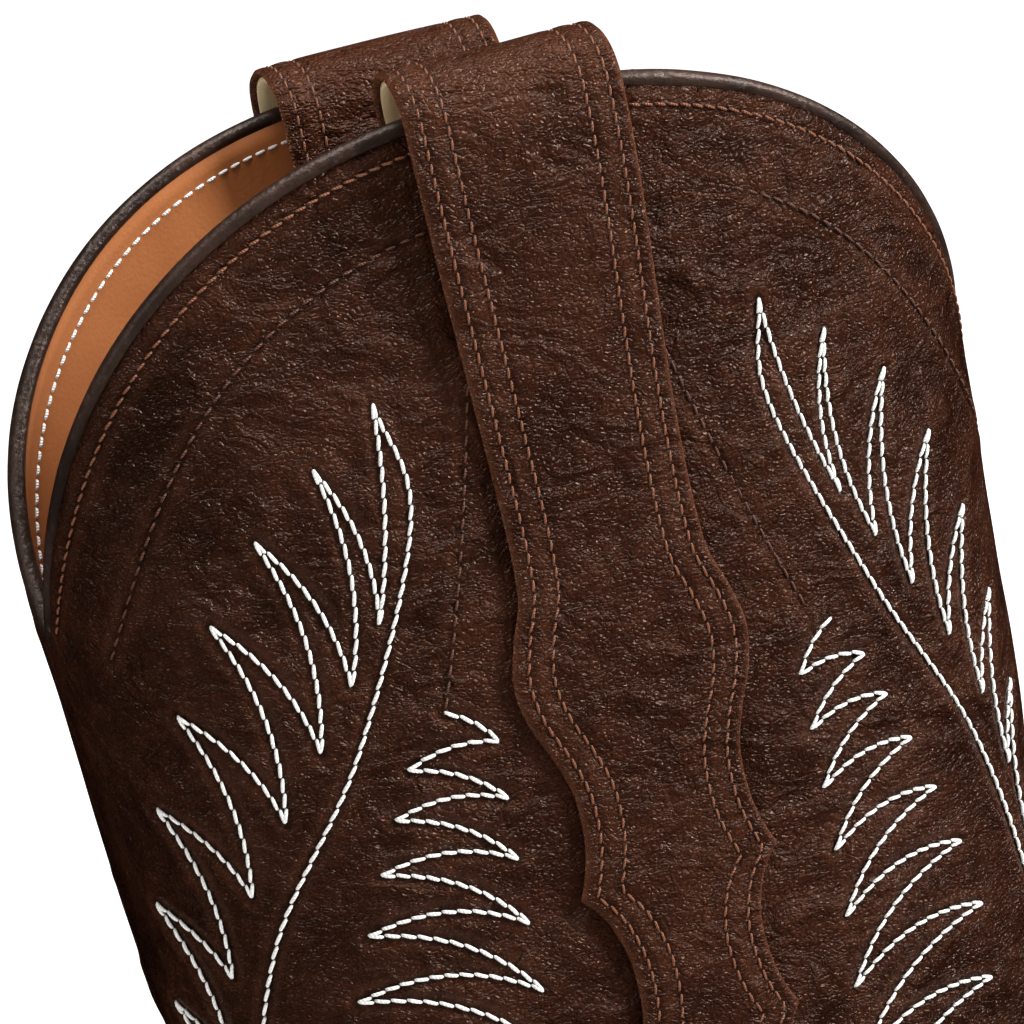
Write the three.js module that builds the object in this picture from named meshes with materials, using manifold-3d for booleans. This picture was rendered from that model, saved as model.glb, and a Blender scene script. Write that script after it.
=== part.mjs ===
// A western riding boot, left foot, size about EU 42, built as its leather, cork, steel and rubber pieces.
// Millimetres, +Z up. The toe points along -X and the outer (lateral) side faces -Y. The boot stands on z = 0.
// The boot is drawn with the back of its heel near x = 0, and the finished group is moved so that its box is
// centred on the origin in x and y.
import * as THREE from "three";
import { mergeVertices } from "three/addons/utils/BufferGeometryUtils.js";
import Module from "manifold-3d";

const wasm = await Module();
wasm.setup();

// ---- Driving dimensions ----
const FOOT_LENGTH = 297.5; // upper, toe tip to heel back
const SHAFT_HEIGHT = 350; // ground to the top line at the side seams
const ANKLE_Z = 200; // below this height the straight shaft bends into the foot
const SHAFT_FRONT_X = -162.75; // front of the shaft at ANKLE_Z
const SHAFT_BACK_X = -4.45; // back of the shaft at ANKLE_Z
const FRONT_FLARE = 0.075; // the front leans out by this much for each millimetre of height
const BACK_FLARE = 0.043;
const SHAFT_HALF_WIDTH = 38;
const SEAM_BACK = 1.8; // the side seam is this far behind the middle of the shaft at the top line
const SEAM_LEAN = 0.027; // and leans back by this much for each millimetre below it
const SHAFT_SQUARENESS = 2.5; // superellipse exponent of the shaft's section
const FRONT_DIP = 75; // depth of the V at the front of the top line
const BACK_DIP = 68;
const TOP_LINE_POWER = 0.91; // below 1 rounds the lobes of the top line

const HEEL_HEIGHT = 40; // stack and rubber cap
const HEEL_LIFTS = 5;
const HEEL_CAP = 6.5;
const HEEL_LENGTH = 62; // breast to back at the seat
const HEEL_PITCH = 9; // how far the back of the heel slopes forward at the ground
const HEEL_TAPER = 3; // how much narrower each side of the heel is at the ground
const TOE_SPRING = 9;
const BALL_BACK_X = -175; // the sole leaves the ground here and climbs to the heel
const BALL_FRONT_X = -205; // the toe spring starts here
const OUTSOLE = 5;
const WELT = 3;
const INSOLE = 3;
const FOOTBED = 1.5;

const SHAFT_LEATHER = 1.5;
const LINING = 1;
const FOOT_LEATHER = 1.5;
const GAP = 0.3; // running clearance between neighbouring pieces
const BEAD_RADIUS = 1.5; // rolled binding on the top line
const SEAM_WELT = 1.2; // piping strip in each side seam

const WELT_MARGIN = 5.5; // outsole beyond the upper at the ball
const WAIST_MARGIN = 3.5;
const HEEL_MARGIN = 2;
const WELT_REACH = 6; // how far the welt runs in under the upper

const STRAP_TOP_HALF = 19.8; // half width of a pull strap at its fold
const STRAP_NECK_HALF = 16.4; // and where the straight part ends
const STRAP_NECK = 72; // distance of that point below the top line
const STRAP_THICK = 1.5;
const STRAP_BACKING = 0.9; // cream lining of the loop
const LOOP_RISE = 9.5; // top of the loop above the top line
const LOOP_OUT = 4.4; // stand-off of the outer leg at the top line
const LOOP_IN = 11.5; // stand-off of the inner leg behind the shaft's face
const INNER_LEG = 74; // length of the strap inside the boot

// ---- Splines and the last: the base surface is the outer face of the shaft leather ----
// Uniform Catmull-Rom through values at u = 0, 1, 2, ... An even spline is level at u = 0, as a rounded tip is.
function spline(values, u, even = false) {
  const last = values.length - 1;
  const i = Math.min(last - 1, Math.max(0, Math.floor(u)));
  const t = u - i;
  const at = (k) => {
    if (k < 0) return even ? values[1] : 2 * values[0] - values[1];
    if (k > last) return 2 * values[last] - values[last - 1];
    return values[k];
  };
  const [p0, p1, p2, p3] = [at(i - 1), at(i), at(i + 1), at(i + 2)];
  const m1 = (p2 - p0) / 2;
  const m2 = (p3 - p1) / 2;
  const t2 = t * t;
  const t3 = t2 * t;
  return (
    (2 * t3 - 3 * t2 + 1) * p1 +
    (t3 - 2 * t2 + t) * m1 +
    (3 * t2 - 2 * t3) * p2 +
    (t3 - t2) * m2
  );
}

const smooth = (t) => {
  const c = Math.min(1, Math.max(0, t));
  return c * c * (3 - 2 * c);
};
const alongFoot = (x) => (x * FOOT_LENGTH) / 297.5;
const frontLine = (z) => SHAFT_FRONT_X - FRONT_FLARE * (z - ANKLE_Z);
const backLine = (z) => SHAFT_BACK_X + BACK_FLARE * (z - ANKLE_Z);
const seamLine = (z) =>
  (frontLine(z) + backLine(z)) / 2 + SEAM_BACK + SEAM_LEAN * (SHAFT_HEIGHT - z);

// Height of the outsole's underside and of the welt's top, on which the upper stands.
function soleZ(x) {
  const climb = smooth((x - BALL_BACK_X) / (-HEEL_LENGTH - 6 - BALL_BACK_X));
  const toe = Math.max(0, BALL_FRONT_X - x) / (BALL_FRONT_X - alongFoot(-298));
  return HEEL_HEIGHT * climb + TOE_SPRING * toe * toe;
}
const seatZ = (x) => soleZ(x) + OUTSOLE + WELT;

// Lofting stations from the toe tip, round the heel and up the shaft. Each section lies in a plane through
// its top (or front) point and its bottom (or back) point. The bottom points of the foot lie SINK below the seat.
const SINK = 14.5;
const onSole = (x, sink = SINK) => [alongFoot(x), seatZ(alongFoot(x)) - sink];
const topOfFoot = (x, rise) => [
  alongFoot(x),
  seatZ(BALL_BACK_X) + rise, // heights over the ball's seat
];
const onFront = (z, tuck = 0) => [frontLine(z) + tuck, z];
const onBack = (z, out = 0) => [backLine(z) + out, z];
const HEEL_SEAT = HEEL_HEIGHT + OUTSOLE + WELT;
const shaftZ = (share) => ANKLE_Z + share * (SHAFT_HEIGHT - ANKLE_Z);
const STATIONS = [
  // [top or front point, bottom or back point, half width, widest at, top exponent, bottom exponent, centre y]
  [topOfFoot(-297.5, 11), topOfFoot(-297.5, 11), 0, 0.45, 2.2, 2.6, 3.5],
  [topOfFoot(-294, 23.5), onSole(-294, 10), 11.5, 0.43, 2.2, 2.7, 3.3],
  [topOfFoot(-286, 31), onSole(-286, 13), 21.5, 0.4, 2.2, 2.8, 3],
  [topOfFoot(-270, 38.5), onSole(-270), 32.5, 0.37, 2.15, 3, 2],
  [topOfFoot(-247, 47), onSole(-247), 41.5, 0.34, 2.1, 3, 0.5],
  [topOfFoot(-222, 56.5), onSole(-222), 47, 0.33, 2, 3, -1],
  [topOfFoot(-200, 68), onSole(-199), 49, 0.33, 1.95, 3, -1.5],
  [topOfFoot(-184, 80), onSole(-172), 46.5, 0.34, 1.9, 2.9, -1.2],
  [topOfFoot(-170, 93.5), onSole(-141), 42.5, 0.37, 1.9, 2.8, -0.6],
  [topOfFoot(-158, 109), onSole(-107), 39, 0.42, 2, 2.8, 0],
  [onFront(135, 14), onSole(-71), 37, 0.46, 2.1, 2.9, 0],
  [onFront(152, 11.4), onSole(-33), 36.5, 0.5, 2.2, 3, 0],
  [onFront(169, 7.2), [-3.5, HEEL_SEAT - 4], 37, 0.5, 2.3, 2.9, 0],
  [onFront(186, 3), [2, HEEL_SEAT + 21], 37.5, 0.5, 2.4, 2.7, 0],
  [onFront(shaftZ(0.04), 0.7), onBack(98, 4.4), 38, 0.5, 2.5, 2.6, 0],
  [onFront(shaftZ(0.2)), onBack(128, 0.6), 0, 0.5, 2.5, 2.5, 0],
  [onFront(shaftZ(0.41)), onBack(165), 0, 0.5, 2.5, 2.5, 0],
  [onFront(shaftZ(0.7)), onBack(shaftZ(0.28)), 0, 0.5, 2.5, 2.5, 0],
  [onFront(shaftZ(1)), onBack(shaftZ(1)), 0, 0.5, 2.5, 2.5, 0],
  [onFront(shaftZ(1.1)), onBack(shaftZ(1.1)), 0, 0.5, 2.5, 2.5, 0],
];
const FIRST_SHAFT_STATION = 15;
const LAST_U = STATIONS.length - 1;
STATIONS.forEach((s, i) => {
  if (i < FIRST_SHAFT_STATION) return;
  s[2] = SHAFT_HALF_WIDTH;
  s[4] = SHAFT_SQUARENESS;
  s[5] = SHAFT_SQUARENESS;
});
const column = (pick) => STATIONS.map(pick);
const COLUMNS = {
  topX: column((s) => s[0][0]),
  topZ: column((s) => s[0][1]),
  bottomX: column((s) => s[1][0]),
  bottomZ: column((s) => s[1][1]),
  half: column((s) => s[2]),
  widest: column((s) => s[3]),
  topPower: column((s) => s[4]),
  bottomPower: column((s) => s[5]),
  centre: column((s) => s[6]),
};

function section(u) {
  const value = (name, even) => spline(COLUMNS[name], u, even);
  return {
    top: [value("topX", true), value("topZ")],
    bottom: [value("bottomX", true), value("bottomZ")],
    half: Math.max(0, value("half")),
    widest: value("widest"),
    topPower: value("topPower"),
    bottomPower: value("bottomPower"),
    centre: value("centre"),
  };
}

// A point of the base surface. angle runs from the top or front point (0) round the outer side (-Y) to the
// bottom or back point (PI) and back along the inner side.
function basePoint(u, angle) {
  const s = section(u);
  const c = Math.cos(angle);
  const power = 2 / (c >= 0 ? s.topPower : s.bottomPower);
  const reach = Math.abs(c) ** power;
  const share = s.widest + (c >= 0 ? 1 - s.widest : -s.widest) * reach;
  const side = Math.abs(Math.sin(angle)) ** power * Math.sign(Math.sin(angle));
  return new THREE.Vector3(
    s.bottom[0] + share * (s.top[0] - s.bottom[0]),
    s.centre - s.half * side,
    s.bottom[1] + share * (s.top[1] - s.bottom[1]),
  );
}

function baseNormal(u, angle) {
  if (u < 1e-6) return new THREE.Vector3(-1, 0, 0);
  const step = 0.01;
  const along = basePoint(Math.min(LAST_U, u + step), angle).sub(
    basePoint(Math.max(0, u - step), angle),
  );
  const around = basePoint(u, angle + step).sub(basePoint(u, angle - step));
  return new THREE.Vector3().crossVectors(around, along).normalize();
}
const offsetPoint = (u, angle, offset) =>
  basePoint(u, angle).addScaledVector(baseNormal(u, angle), offset);

// Half width of the base surface over a point of the side view, found on the section plane that holds it.
function locate(x, z) {
  let low = 8;
  let high = LAST_U;
  const sideOf = (u) => {
    const s = section(u);
    return (
      (s.top[0] - s.bottom[0]) * (z - s.bottom[1]) -
      (s.top[1] - s.bottom[1]) * (x - s.bottom[0])
    );
  };
  for (let k = 0; k < 40; k++) {
    const middle = (low + high) / 2;
    if (sideOf(middle) > 0) high = middle;
    else low = middle;
  }
  const s = section(low);
  const share =
    ((x - s.bottom[0]) * (s.top[0] - s.bottom[0]) +
      (z - s.bottom[1]) * (s.top[1] - s.bottom[1])) /
    ((s.top[0] - s.bottom[0]) ** 2 + (s.top[1] - s.bottom[1]) ** 2);
  const front = share >= s.widest;
  const q = front
    ? (share - s.widest) / (1 - s.widest)
    : (s.widest - share) / s.widest;
  const power = front ? s.topPower : s.bottomPower;
  return s.half * (1 - Math.min(1, Math.abs(q)) ** power) ** (1 / power);
}
// A point of the shaft's outer side wall (side -1) or inner side wall (side 1), moved out along its normal.
function wallPoint(x, z, side, offset) {
  const step = 0.5;
  const y = locate(x, z);
  const slopeX = (locate(x + step, z) - locate(x - step, z)) / (2 * step);
  const slopeZ = (locate(x, z + step) - locate(x, z - step)) / (2 * step);
  const normal = new THREE.Vector3(-slopeX, 1, -slopeZ).normalize();
  return new THREE.Vector3(
    x + normal.x * offset,
    side * (y + normal.y * offset),
    z + normal.z * offset,
  );
}

// ---- Solids ----
function geometryOf(points, triangles) {
  const geometry = new THREE.BufferGeometry();
  const flat = points.flatMap((p) => [p.x, p.y, p.z]);
  geometry.setAttribute("position", new THREE.Float32BufferAttribute(flat, 3));
  geometry.setIndex(triangles);
  return geometry;
}

function solidOf(geometry) {
  const bare = geometry.clone();
  bare.deleteAttribute("normal");
  bare.deleteAttribute("uv");
  const merged = mergeVertices(bare, 1e-4);
  const index = merged.index.array;
  const kept = [];
  for (let i = 0; i < index.length; i += 3) {
    const [a, b, c] = [index[i], index[i + 1], index[i + 2]];
    if (a !== b && b !== c && a !== c) kept.push(a, b, c);
  }
  return new wasm.Manifold(
    new wasm.Mesh({
      numProp: 3,
      vertProperties: new Float32Array(merged.attributes.position.array),
      triVerts: new Uint32Array(kept),
    }),
  );
}

function geometryFrom(solid) {
  const mesh = solid.getMesh();
  const count = mesh.numVert;
  const position = new Float32Array(count * 3);
  for (let i = 0; i < count; i++) {
    const at = i * mesh.numProp;
    position.set(mesh.vertProperties.subarray(at, at + 3), i * 3);
  }
  const geometry = new THREE.BufferGeometry();
  geometry.setAttribute("position", new THREE.BufferAttribute(position, 3));
  geometry.setIndex(new THREE.BufferAttribute(mesh.triVerts, 1));
  return geometry;
}

// A grid of rows of points, each row closed into a ring, with flat caps on its two ends.
function ringSolid(rows) {
  const size = rows[0].length;
  const points = rows.flat();
  const triangles = [];
  for (let i = 0; i + 1 < rows.length; i++) {
    for (let j = 0; j < size; j++) {
      const [a, b] = [i * size + j, i * size + ((j + 1) % size)];
      triangles.push(a, a + size, b, b, a + size, b + size);
    }
  }
  [0, rows.length - 1].forEach((row, end) => {
    const middle = points.length;
    const centre = rows[row]
      .reduce((sum, p) => sum.add(p), new THREE.Vector3())
      .divideScalar(size);
    points.push(centre);
    for (let j = 0; j < size; j++) {
      const [a, b] = [row * size + j, row * size + ((j + 1) % size)];
      if (end) triangles.push(a, middle, b);
      else triangles.push(a, b, middle);
    }
  });
  const solid = solidOf(geometryOf(points, triangles));
  return solid.volume() < 0
    ? solidOf(geometryOf(points, triangles.reverse()))
    : solid;
}

// The same with the last row joined to the first, which makes a ring with no caps.
function loopSolid(rows) {
  const size = rows[0].length;
  const triangles = [];
  for (let i = 0; i < rows.length; i++) {
    const [here, next] = [i * size, ((i + 1) % rows.length) * size];
    for (let j = 0; j < size; j++) {
      const k = (j + 1) % size;
      triangles.push(here + j, next + j, here + k, here + k, next + j, next + k);
    }
  }
  const points = rows.flat();
  const solid = solidOf(geometryOf(points, triangles));
  return solid.volume() < 0 ? solidOf(geometryOf(points, triangles.reverse())) : solid;
}

// The stretch of side view inside an outline, as a prism across the whole boot or one side of it.
const ACROSS = 120;
function prism(outline, from = -ACROSS, to = ACROSS) {
  const shape = new THREE.Shape(outline.map(([x, z]) => new THREE.Vector2(x, z)));
  const geometry = new THREE.ExtrudeGeometry(shape, {
    depth: to - from,
    bevelEnabled: false,
    curveSegments: 8,
  });
  geometry.rotateX(Math.PI / 2); // (x, y, depth) becomes (x, -depth, y)
  geometry.translate(0, to, 0);
  return solidOf(geometry);
}

// The wall between two offsets of the base surface, all round and from the toe to above the top line.
const ROUND_STEPS = 20;
const FOOT_U = [0.02, 0.25, 0.6, 1, 1.5, 2.1, 3, 4, 5, 6, 7, 8, 9, 10, 10.8, 11.5];
const HEEL_U = [12, 12.5, 13, 13.5, 14.2, FIRST_SHAFT_STATION, LAST_U];
function filled(offset) {
  const rows = [...FOOT_U, ...HEEL_U].map((u) =>
    Array.from({ length: ROUND_STEPS }, (_, j) =>
      offsetPoint(u, (j * 2 * Math.PI) / ROUND_STEPS, offset),
    ),
  );
  return ringSolid(rows);
}
const layer = (inner, outer) => filled(outer).subtract(filled(inner));

// ---- The top line ----
// Its depth below SHAFT_HEIGHT is none at the side seams and full at the two dips, where it makes a V.
function topLineZ(angle) {
  const dip = Math.cos(angle) >= 0 ? FRONT_DIP : BACK_DIP;
  return SHAFT_HEIGHT - dip * (1 - Math.min(1, Math.abs(Math.sin(angle)))) ** TOP_LINE_POWER;
}
// The section that passes through the top line at an angle.
function topLineU(angle) {
  const z = topLineZ(angle);
  let [low, high] = [12, LAST_U];
  for (let k = 0; k < 40; k++) {
    const middle = (low + high) / 2;
    if (basePoint(middle, angle).z > z) high = middle;
    else low = middle;
  }
  return low;
}
// The point, the wall's outward normal and the direction up the wall, square to the line, at an angle.
const atDip = (angle) => Math.abs(Math.sin(angle)) < 1e-6;
function rim(angle) {
  const u = topLineU(angle);
  const point = basePoint(u, angle);
  const normal = baseNormal(u, angle);
  if (atDip(angle)) {
    const slope = rim(angle + 0.12).point.sub(point);
    const up = new THREE.Vector3(0, 1, 0).cross(normal).normalize();
    if (up.z < 0) up.negate();
    const stretch = slope.length() / Math.abs(slope.y);
    return { point, normal, up, stretch };
  }
  const step = 0.01;
  const ahead = basePoint(topLineU(angle + step), angle + step);
  const behindIt = basePoint(topLineU(angle - step), angle - step);
  const up = new THREE.Vector3().crossVectors(ahead.sub(behindIt), normal).normalize();
  if (up.z < 0) up.negate();
  return { point, normal, up, stretch: 1 };
}
const RIM_STEPS = 28; // a multiple of four, so that the dips and the seams fall on a step
const RIM_ANGLES = Array.from({ length: RIM_STEPS }, (_, j) => (j * 2 * Math.PI) / RIM_STEPS);
const ROUND_RIM = 1.5; // the cutting ring reaches this far to each side of the walls
const OVER_RIM = 90;
const RIM_SPREAD = 16; // the ring widens upward, since the walls above it lean
function aboveTopLine() {
  const rows = RIM_ANGLES.map((angle) => {
    const { point, normal } = rim(angle);
    const [far, near] = [ROUND_RIM, LINING_FACE - ROUND_RIM].map((d) =>
      point.clone().addScaledVector(normal, d),
    );
    const raised = (p, out) => {
      const q = p.clone().addScaledVector(normal, out);
      return q.setZ(SHAFT_HEIGHT + OVER_RIM);
    };
    return [far, near, raised(near, -RIM_SPREAD), raised(far, RIM_SPREAD)];
  });
  return loopSolid(rows);
}

// ---- Lines that part the pieces of the upper, in the side view ----
// The ankle line: above it are the shaft and its lining, below it the stiffeners and the foot's lining.
const HEEL_SPLIT_X = alongFoot(-72);
const SHAFT_FOOT = [
  [-330, 130],
  [-230, 118],
  [-168, 112],
  [-142, 98],
  [-112, 80],
  [-80, 72],
  [-40, 82],
  [-12, 96],
  [40, 104],
].map(([x, z]) => [alongFoot(x), z - 48 + HEEL_SEAT]);
const VAMP_TOP = [
  [-72.5, 40],
  [-74, 62],
  [-79, 80],
  [-92, 88],
  [-110, 91],
  [-126, 97],
  [-136, 108],
  [-141.5, 121],
  [-146, 132],
  [-153, 138],
  [-166, 141],
  [-330, 141],
].map(([x, z]) => [alongFoot(x), z - 48 + HEEL_SEAT]);
const COUNTER_TOP = [
  [-71.5, 40],
  [-73, 60],
  [-76, 76],
  [-65, 86],
  [-50, 88],
  [-37, 95],
  [-28, 108],
  [-18, 120],
  [-6, 128],
  [30, 133],
].map(([x, z]) => [alongFoot(x), z - 48 + HEEL_SEAT]);
const TOE_PUFF_X = alongFoot(-238);

const BEYOND = 60; // how far a cutting prism runs past the boot
const shifted = (line, dz) => line.map(([x, z]) => [x, z + dz]);
function above(line, top = SHAFT_HEIGHT + BEYOND) {
  const [first, last] = [line[0], line[line.length - 1]];
  return prism([...line, [last[0], top], [first[0], top]]);
}
function below(line, bottom = -BEYOND) {
  const [first, last] = [line[0], line[line.length - 1]];
  return prism([[first[0], bottom], [last[0], bottom], ...[...line].reverse()]);
}
// Every slab of the bottom and the cut above it bend at the same x stations, so that they stay parallel.
const PLAN_STEPS = 26;
const PLAN_X = Array.from({ length: PLAN_STEPS + 1 }, (_, i) => {
  const share = 0.5 - 0.5 * Math.cos((Math.PI * i) / PLAN_STEPS);
  return alongFoot(-303) + (alongFoot(303) + 4) * share;
});
const seatLine = (lift) =>
  [alongFoot(-330), ...PLAN_X, 60].map((x) => [x, seatZ(x) + lift]);
const WALL_TOP = SHAFT_HEIGHT + BEYOND;
const seamSide = (side, clear) => {
  const edge = (z) => seamLine(z) + side * clear;
  const far = side * 400;
  return prism([
    [edge(0), 0],
    [edge(WALL_TOP), WALL_TOP],
    [far, WALL_TOP],
    [far, 0],
  ]);
};
const frontOf = (x) => prism([[-400, -BEYOND], [x, -BEYOND], [x, WALL_TOP], [-400, WALL_TOP]]);
const behind = (x) => prism([[x, -BEYOND], [200, -BEYOND], [200, WALL_TOP], [x, WALL_TOP]]);

// ---- Materials ----
const brown = { color: 0x4a2a1c, roughness: 0.55, metalness: 0 };
const MATERIALS = {
  shaft: new THREE.MeshStandardMaterial(brown),
  foot: new THREE.MeshStandardMaterial({ ...brown, color: 0x45261a }),
  strap: new THREE.MeshStandardMaterial({ ...brown, color: 0x52301f }),
  binding: new THREE.MeshStandardMaterial({ color: 0x2c1f1b, roughness: 0.35 }),
  lining: new THREE.MeshStandardMaterial({ color: 0xb0713c, roughness: 0.7 }),
  backing: new THREE.MeshStandardMaterial({ color: 0xcdb48c, roughness: 0.8 }),
  board: new THREE.MeshStandardMaterial({ color: 0xb98b5e, roughness: 0.85 }),
  sole: new THREE.MeshStandardMaterial({ color: 0x6b3f24, roughness: 0.5 }),
  cork: new THREE.MeshStandardMaterial({ color: 0x9c7448, roughness: 0.95 }),
  rubber: new THREE.MeshStandardMaterial({ color: 0x1d1a19, roughness: 0.8 }),
  steel: new THREE.MeshStandardMaterial({ color: 0x8d8f92, roughness: 0.4, metalness: 1 }),
  brass: new THREE.MeshStandardMaterial({ color: 0xb08d4a, roughness: 0.35, metalness: 1 }),
  wood: new THREE.MeshStandardMaterial({ color: 0xd9bd86, roughness: 0.7 }),
};

const boot = new THREE.Group();
function addPiece(name, solid, material) {
  const mesh = new THREE.Mesh(geometryFrom(solid), MATERIALS[material]);
  mesh.name = name;
  boot.add(mesh);
}

// ---- The upper: three nested walls, each parted into its pieces ----
const OUTER_FACE = GAP + FOOT_LEATHER; // outer face of vamp, counter and straps over the base surface
const LINING_FACE = -SHAFT_LEATHER - GAP - LINING; // inner face of the lining
const footWall = layer(GAP, OUTER_FACE);
const middleWall = layer(-SHAFT_LEATHER, 0);
const liningWall = layer(LINING_FACE, -SHAFT_LEATHER - GAP);
const standing = above(seatLine(GAP));
const overTop = aboveTopLine();
const shaftPart = above(shifted(SHAFT_FOOT, GAP));
const footPart = below(shifted(SHAFT_FOOT, -GAP)).intersect(standing);

function buildShaft() {
  const clear = SEAM_WELT / 2 + GAP;
  const wall = middleWall.intersect(shaftPart).subtract(overTop);
  const lining = liningWall.intersect(shaftPart).subtract(overTop);
  addPiece("shaft_front_panel", wall.intersect(seamSide(-1, clear)), "shaft");
  addPiece("shaft_back_panel", wall.intersect(seamSide(1, clear)), "shaft");
  addPiece("shaft_lining_front", lining.intersect(seamSide(-1, GAP / 2)), "lining");
  addPiece("shaft_lining_back", lining.intersect(seamSide(1, GAP / 2)), "lining");
  const strip = prism([
    [seamLine(0) - SEAM_WELT / 2, 0],
    [seamLine(0) + SEAM_WELT / 2, 0],
    [seamLine(WALL_TOP) + SEAM_WELT / 2, WALL_TOP],
    [seamLine(WALL_TOP) - SEAM_WELT / 2, WALL_TOP],
  ]);
  const seam = wall.intersect(strip);
  addPiece("side_seam_welt_outer", seam.intersect(prism(WHOLE_SIDE, -ACROSS, 0)), "binding");
  addPiece("side_seam_welt_inner", seam.intersect(prism(WHOLE_SIDE, 0, ACROSS)), "binding");
}
const WHOLE_SIDE = [[-400, -BEYOND], [200, -BEYOND], [200, WALL_TOP], [-400, WALL_TOP]];

function buildFoot() {
  const face = footWall.intersect(standing);
  addPiece("vamp", face.intersect(below([...VAMP_TOP].reverse())), "foot");
  addPiece("counter_cover", face.intersect(below(COUNTER_TOP)), "foot");
  const middle = middleWall.intersect(footPart);
  addPiece("toe_puff", middle.intersect(frontOf(TOE_PUFF_X - GAP)), "board");
  const between = frontOf(HEEL_SPLIT_X - GAP).intersect(behind(TOE_PUFF_X));
  addPiece("vamp_interlining", middle.intersect(between), "backing");
  addPiece("counter_stiffener", middle.intersect(behind(HEEL_SPLIT_X)), "board");
  const lining = liningWall.intersect(footPart);
  addPiece("vamp_lining", lining.intersect(frontOf(HEEL_SPLIT_X - GAP)), "lining");
  addPiece("heel_lining", lining.intersect(behind(HEEL_SPLIT_X)), "lining");
}

// The spur ridge: a leather ledge on the back of the counter.
const SPUR_RIDGE_REACH = 4;
const SPUR_RIDGE_THICK = 4;
const SPUR_RIDGE_Z = HEEL_SEAT + 17;
const SPUR_RIDGE_WRAP = alongFoot(-26);
function buildSpurRidge() {
  const ledge = layer(OUTER_FACE + GAP, OUTER_FACE + GAP + SPUR_RIDGE_REACH);
  const [low, high] = [SPUR_RIDGE_Z, SPUR_RIDGE_Z + SPUR_RIDGE_THICK];
  const band = prism([[SPUR_RIDGE_WRAP, low], [60, low], [60, high], [SPUR_RIDGE_WRAP, high]]);
  addPiece("spur_ridge", ledge.intersect(band), "sole");
}

// ---- Binding: a rolled bead on the top line, in a front and a back piece that part at the side seams ----
const BEAD_SIDES = 6;
const BEAD_END = 0.012; // angle left free at each side seam
function beadSolid(middle) {
  const quarter = RIM_STEPS / 4;
  const end = Math.PI / 2 - BEAD_END;
  const angles = Array.from({ length: 2 * quarter + 1 }, (_, i) => {
    const turn = ((i - quarter) * 2 * Math.PI) / RIM_STEPS;
    return middle + Math.min(end, Math.max(-end, turn));
  });
  const rows = angles.map((angle) => {
    const { point, normal, up, stretch } = rim(angle);
    point.addScaledVector(normal, LINING_FACE / 2);
    point.addScaledVector(up, (BEAD_RADIUS + 1.6 * GAP) * stretch);
    return Array.from({ length: BEAD_SIDES }, (_, j) => {
      const turn = ((j + 0.5) * 2 * Math.PI) / BEAD_SIDES;
      return point
        .clone()
        .addScaledVector(normal, BEAD_RADIUS * Math.cos(turn))
        .addScaledVector(up, BEAD_RADIUS * stretch * Math.sin(turn));
    });
  });
  return ringSolid(rows);
}
function buildBinding() {
  addPiece("top_binding_front", beadSolid(0), "binding");
  addPiece("top_binding_back", beadSolid(Math.PI), "binding");
}

// ---- Pull straps: each runs from a scalloped tail outside, up over the top line and down inside ----
// Half width at a distance below the top line: a straight taper, one round swell, then cusps to a point.
const SWELL = [[72, 16.4], [80, 17], [87, 19.4], [94, 20.9], [101, 19.8], [108, 16.9], [115, 15], [123, 15.1], [132, 17.7]];
const SECOND = [[132, 17.7], [138, 14.2], [145, 12], [152, 12.2], [160, 14.2]];
const THIRD = [[160, 14.2], [165, 11.4], [171, 9.4], [178, 9.2], [186, 10.6]];
const TAIL = [[186, 10.6], [190, 8], [196, 5.4], [203, 3.2], [212, 0.6]];
const SCALLOPS = [...SWELL, ...SECOND.slice(1), ...THIRD.slice(1), ...TAIL.slice(1)];
const STRAP_TAIL = SCALLOPS[SCALLOPS.length - 1][0];
function strapHalfWidth(down) {
  if (down <= STRAP_NECK) {
    const t = Math.max(0, down) / STRAP_NECK;
    return STRAP_TOP_HALF + (STRAP_NECK_HALF - STRAP_TOP_HALF) * smooth(t);
  }
  const next = SCALLOPS.findIndex(([at]) => at >= down - 1e-9);
  const [a, b] = [SCALLOPS[next - 1], SCALLOPS[next]];
  const width = a[1] + ((b[1] - a[1]) * (down - a[0])) / (b[0] - a[0]);
  return width * (STRAP_NECK_HALF / 16.4);
}

// Stations along the strap's middle surface: [height, offset from the base surface, distance below the top].
const STRAP_REST = GAP + STRAP_THICK / 2;
const LEAVES_WALL = 62; // the outer leg stands off the shaft above this distance below the top line
const ARCH_PARTS = 8;
const INNER_REST = LINING_FACE - GAP - STRAP_THICK / 2 - 0.5;
function strapPath() {
  const path = SCALLOPS.map(([down]) => [SHAFT_HEIGHT - down, STRAP_REST, down]).reverse();
  for (const down of [66, 58, 50, 42, 34, 26, 18, 10, 4]) {
    const lift = smooth(1 - down / LEAVES_WALL);
    path.push([SHAFT_HEIGHT - down, STRAP_REST + (LOOP_OUT - STRAP_REST) * lift, down]);
  }
  const [middle, reach] = [(LOOP_OUT - LOOP_IN) / 2, (LOOP_OUT + LOOP_IN) / 2];
  for (let i = 0; i <= ARCH_PARTS; i++) {
    const turn = (Math.PI * i) / ARCH_PARTS;
    const rise = (LOOP_RISE - STRAP_THICK / 2) * Math.sin(turn) ** 0.8;
    path.push([SHAFT_HEIGHT + rise, middle + reach * Math.cos(turn), 0]);
  }
  for (const down of [6, 14, 22, 30, 40, 50, 62, INNER_LEG]) {
    const lift = smooth(1 - down / LEAVES_WALL);
    path.push([SHAFT_HEIGHT - down, INNER_REST - (LOOP_IN + INNER_REST) * lift, down]);
  }
  return path;
}
const ACROSS_STRAP = [-1, 0, 1];
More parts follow.
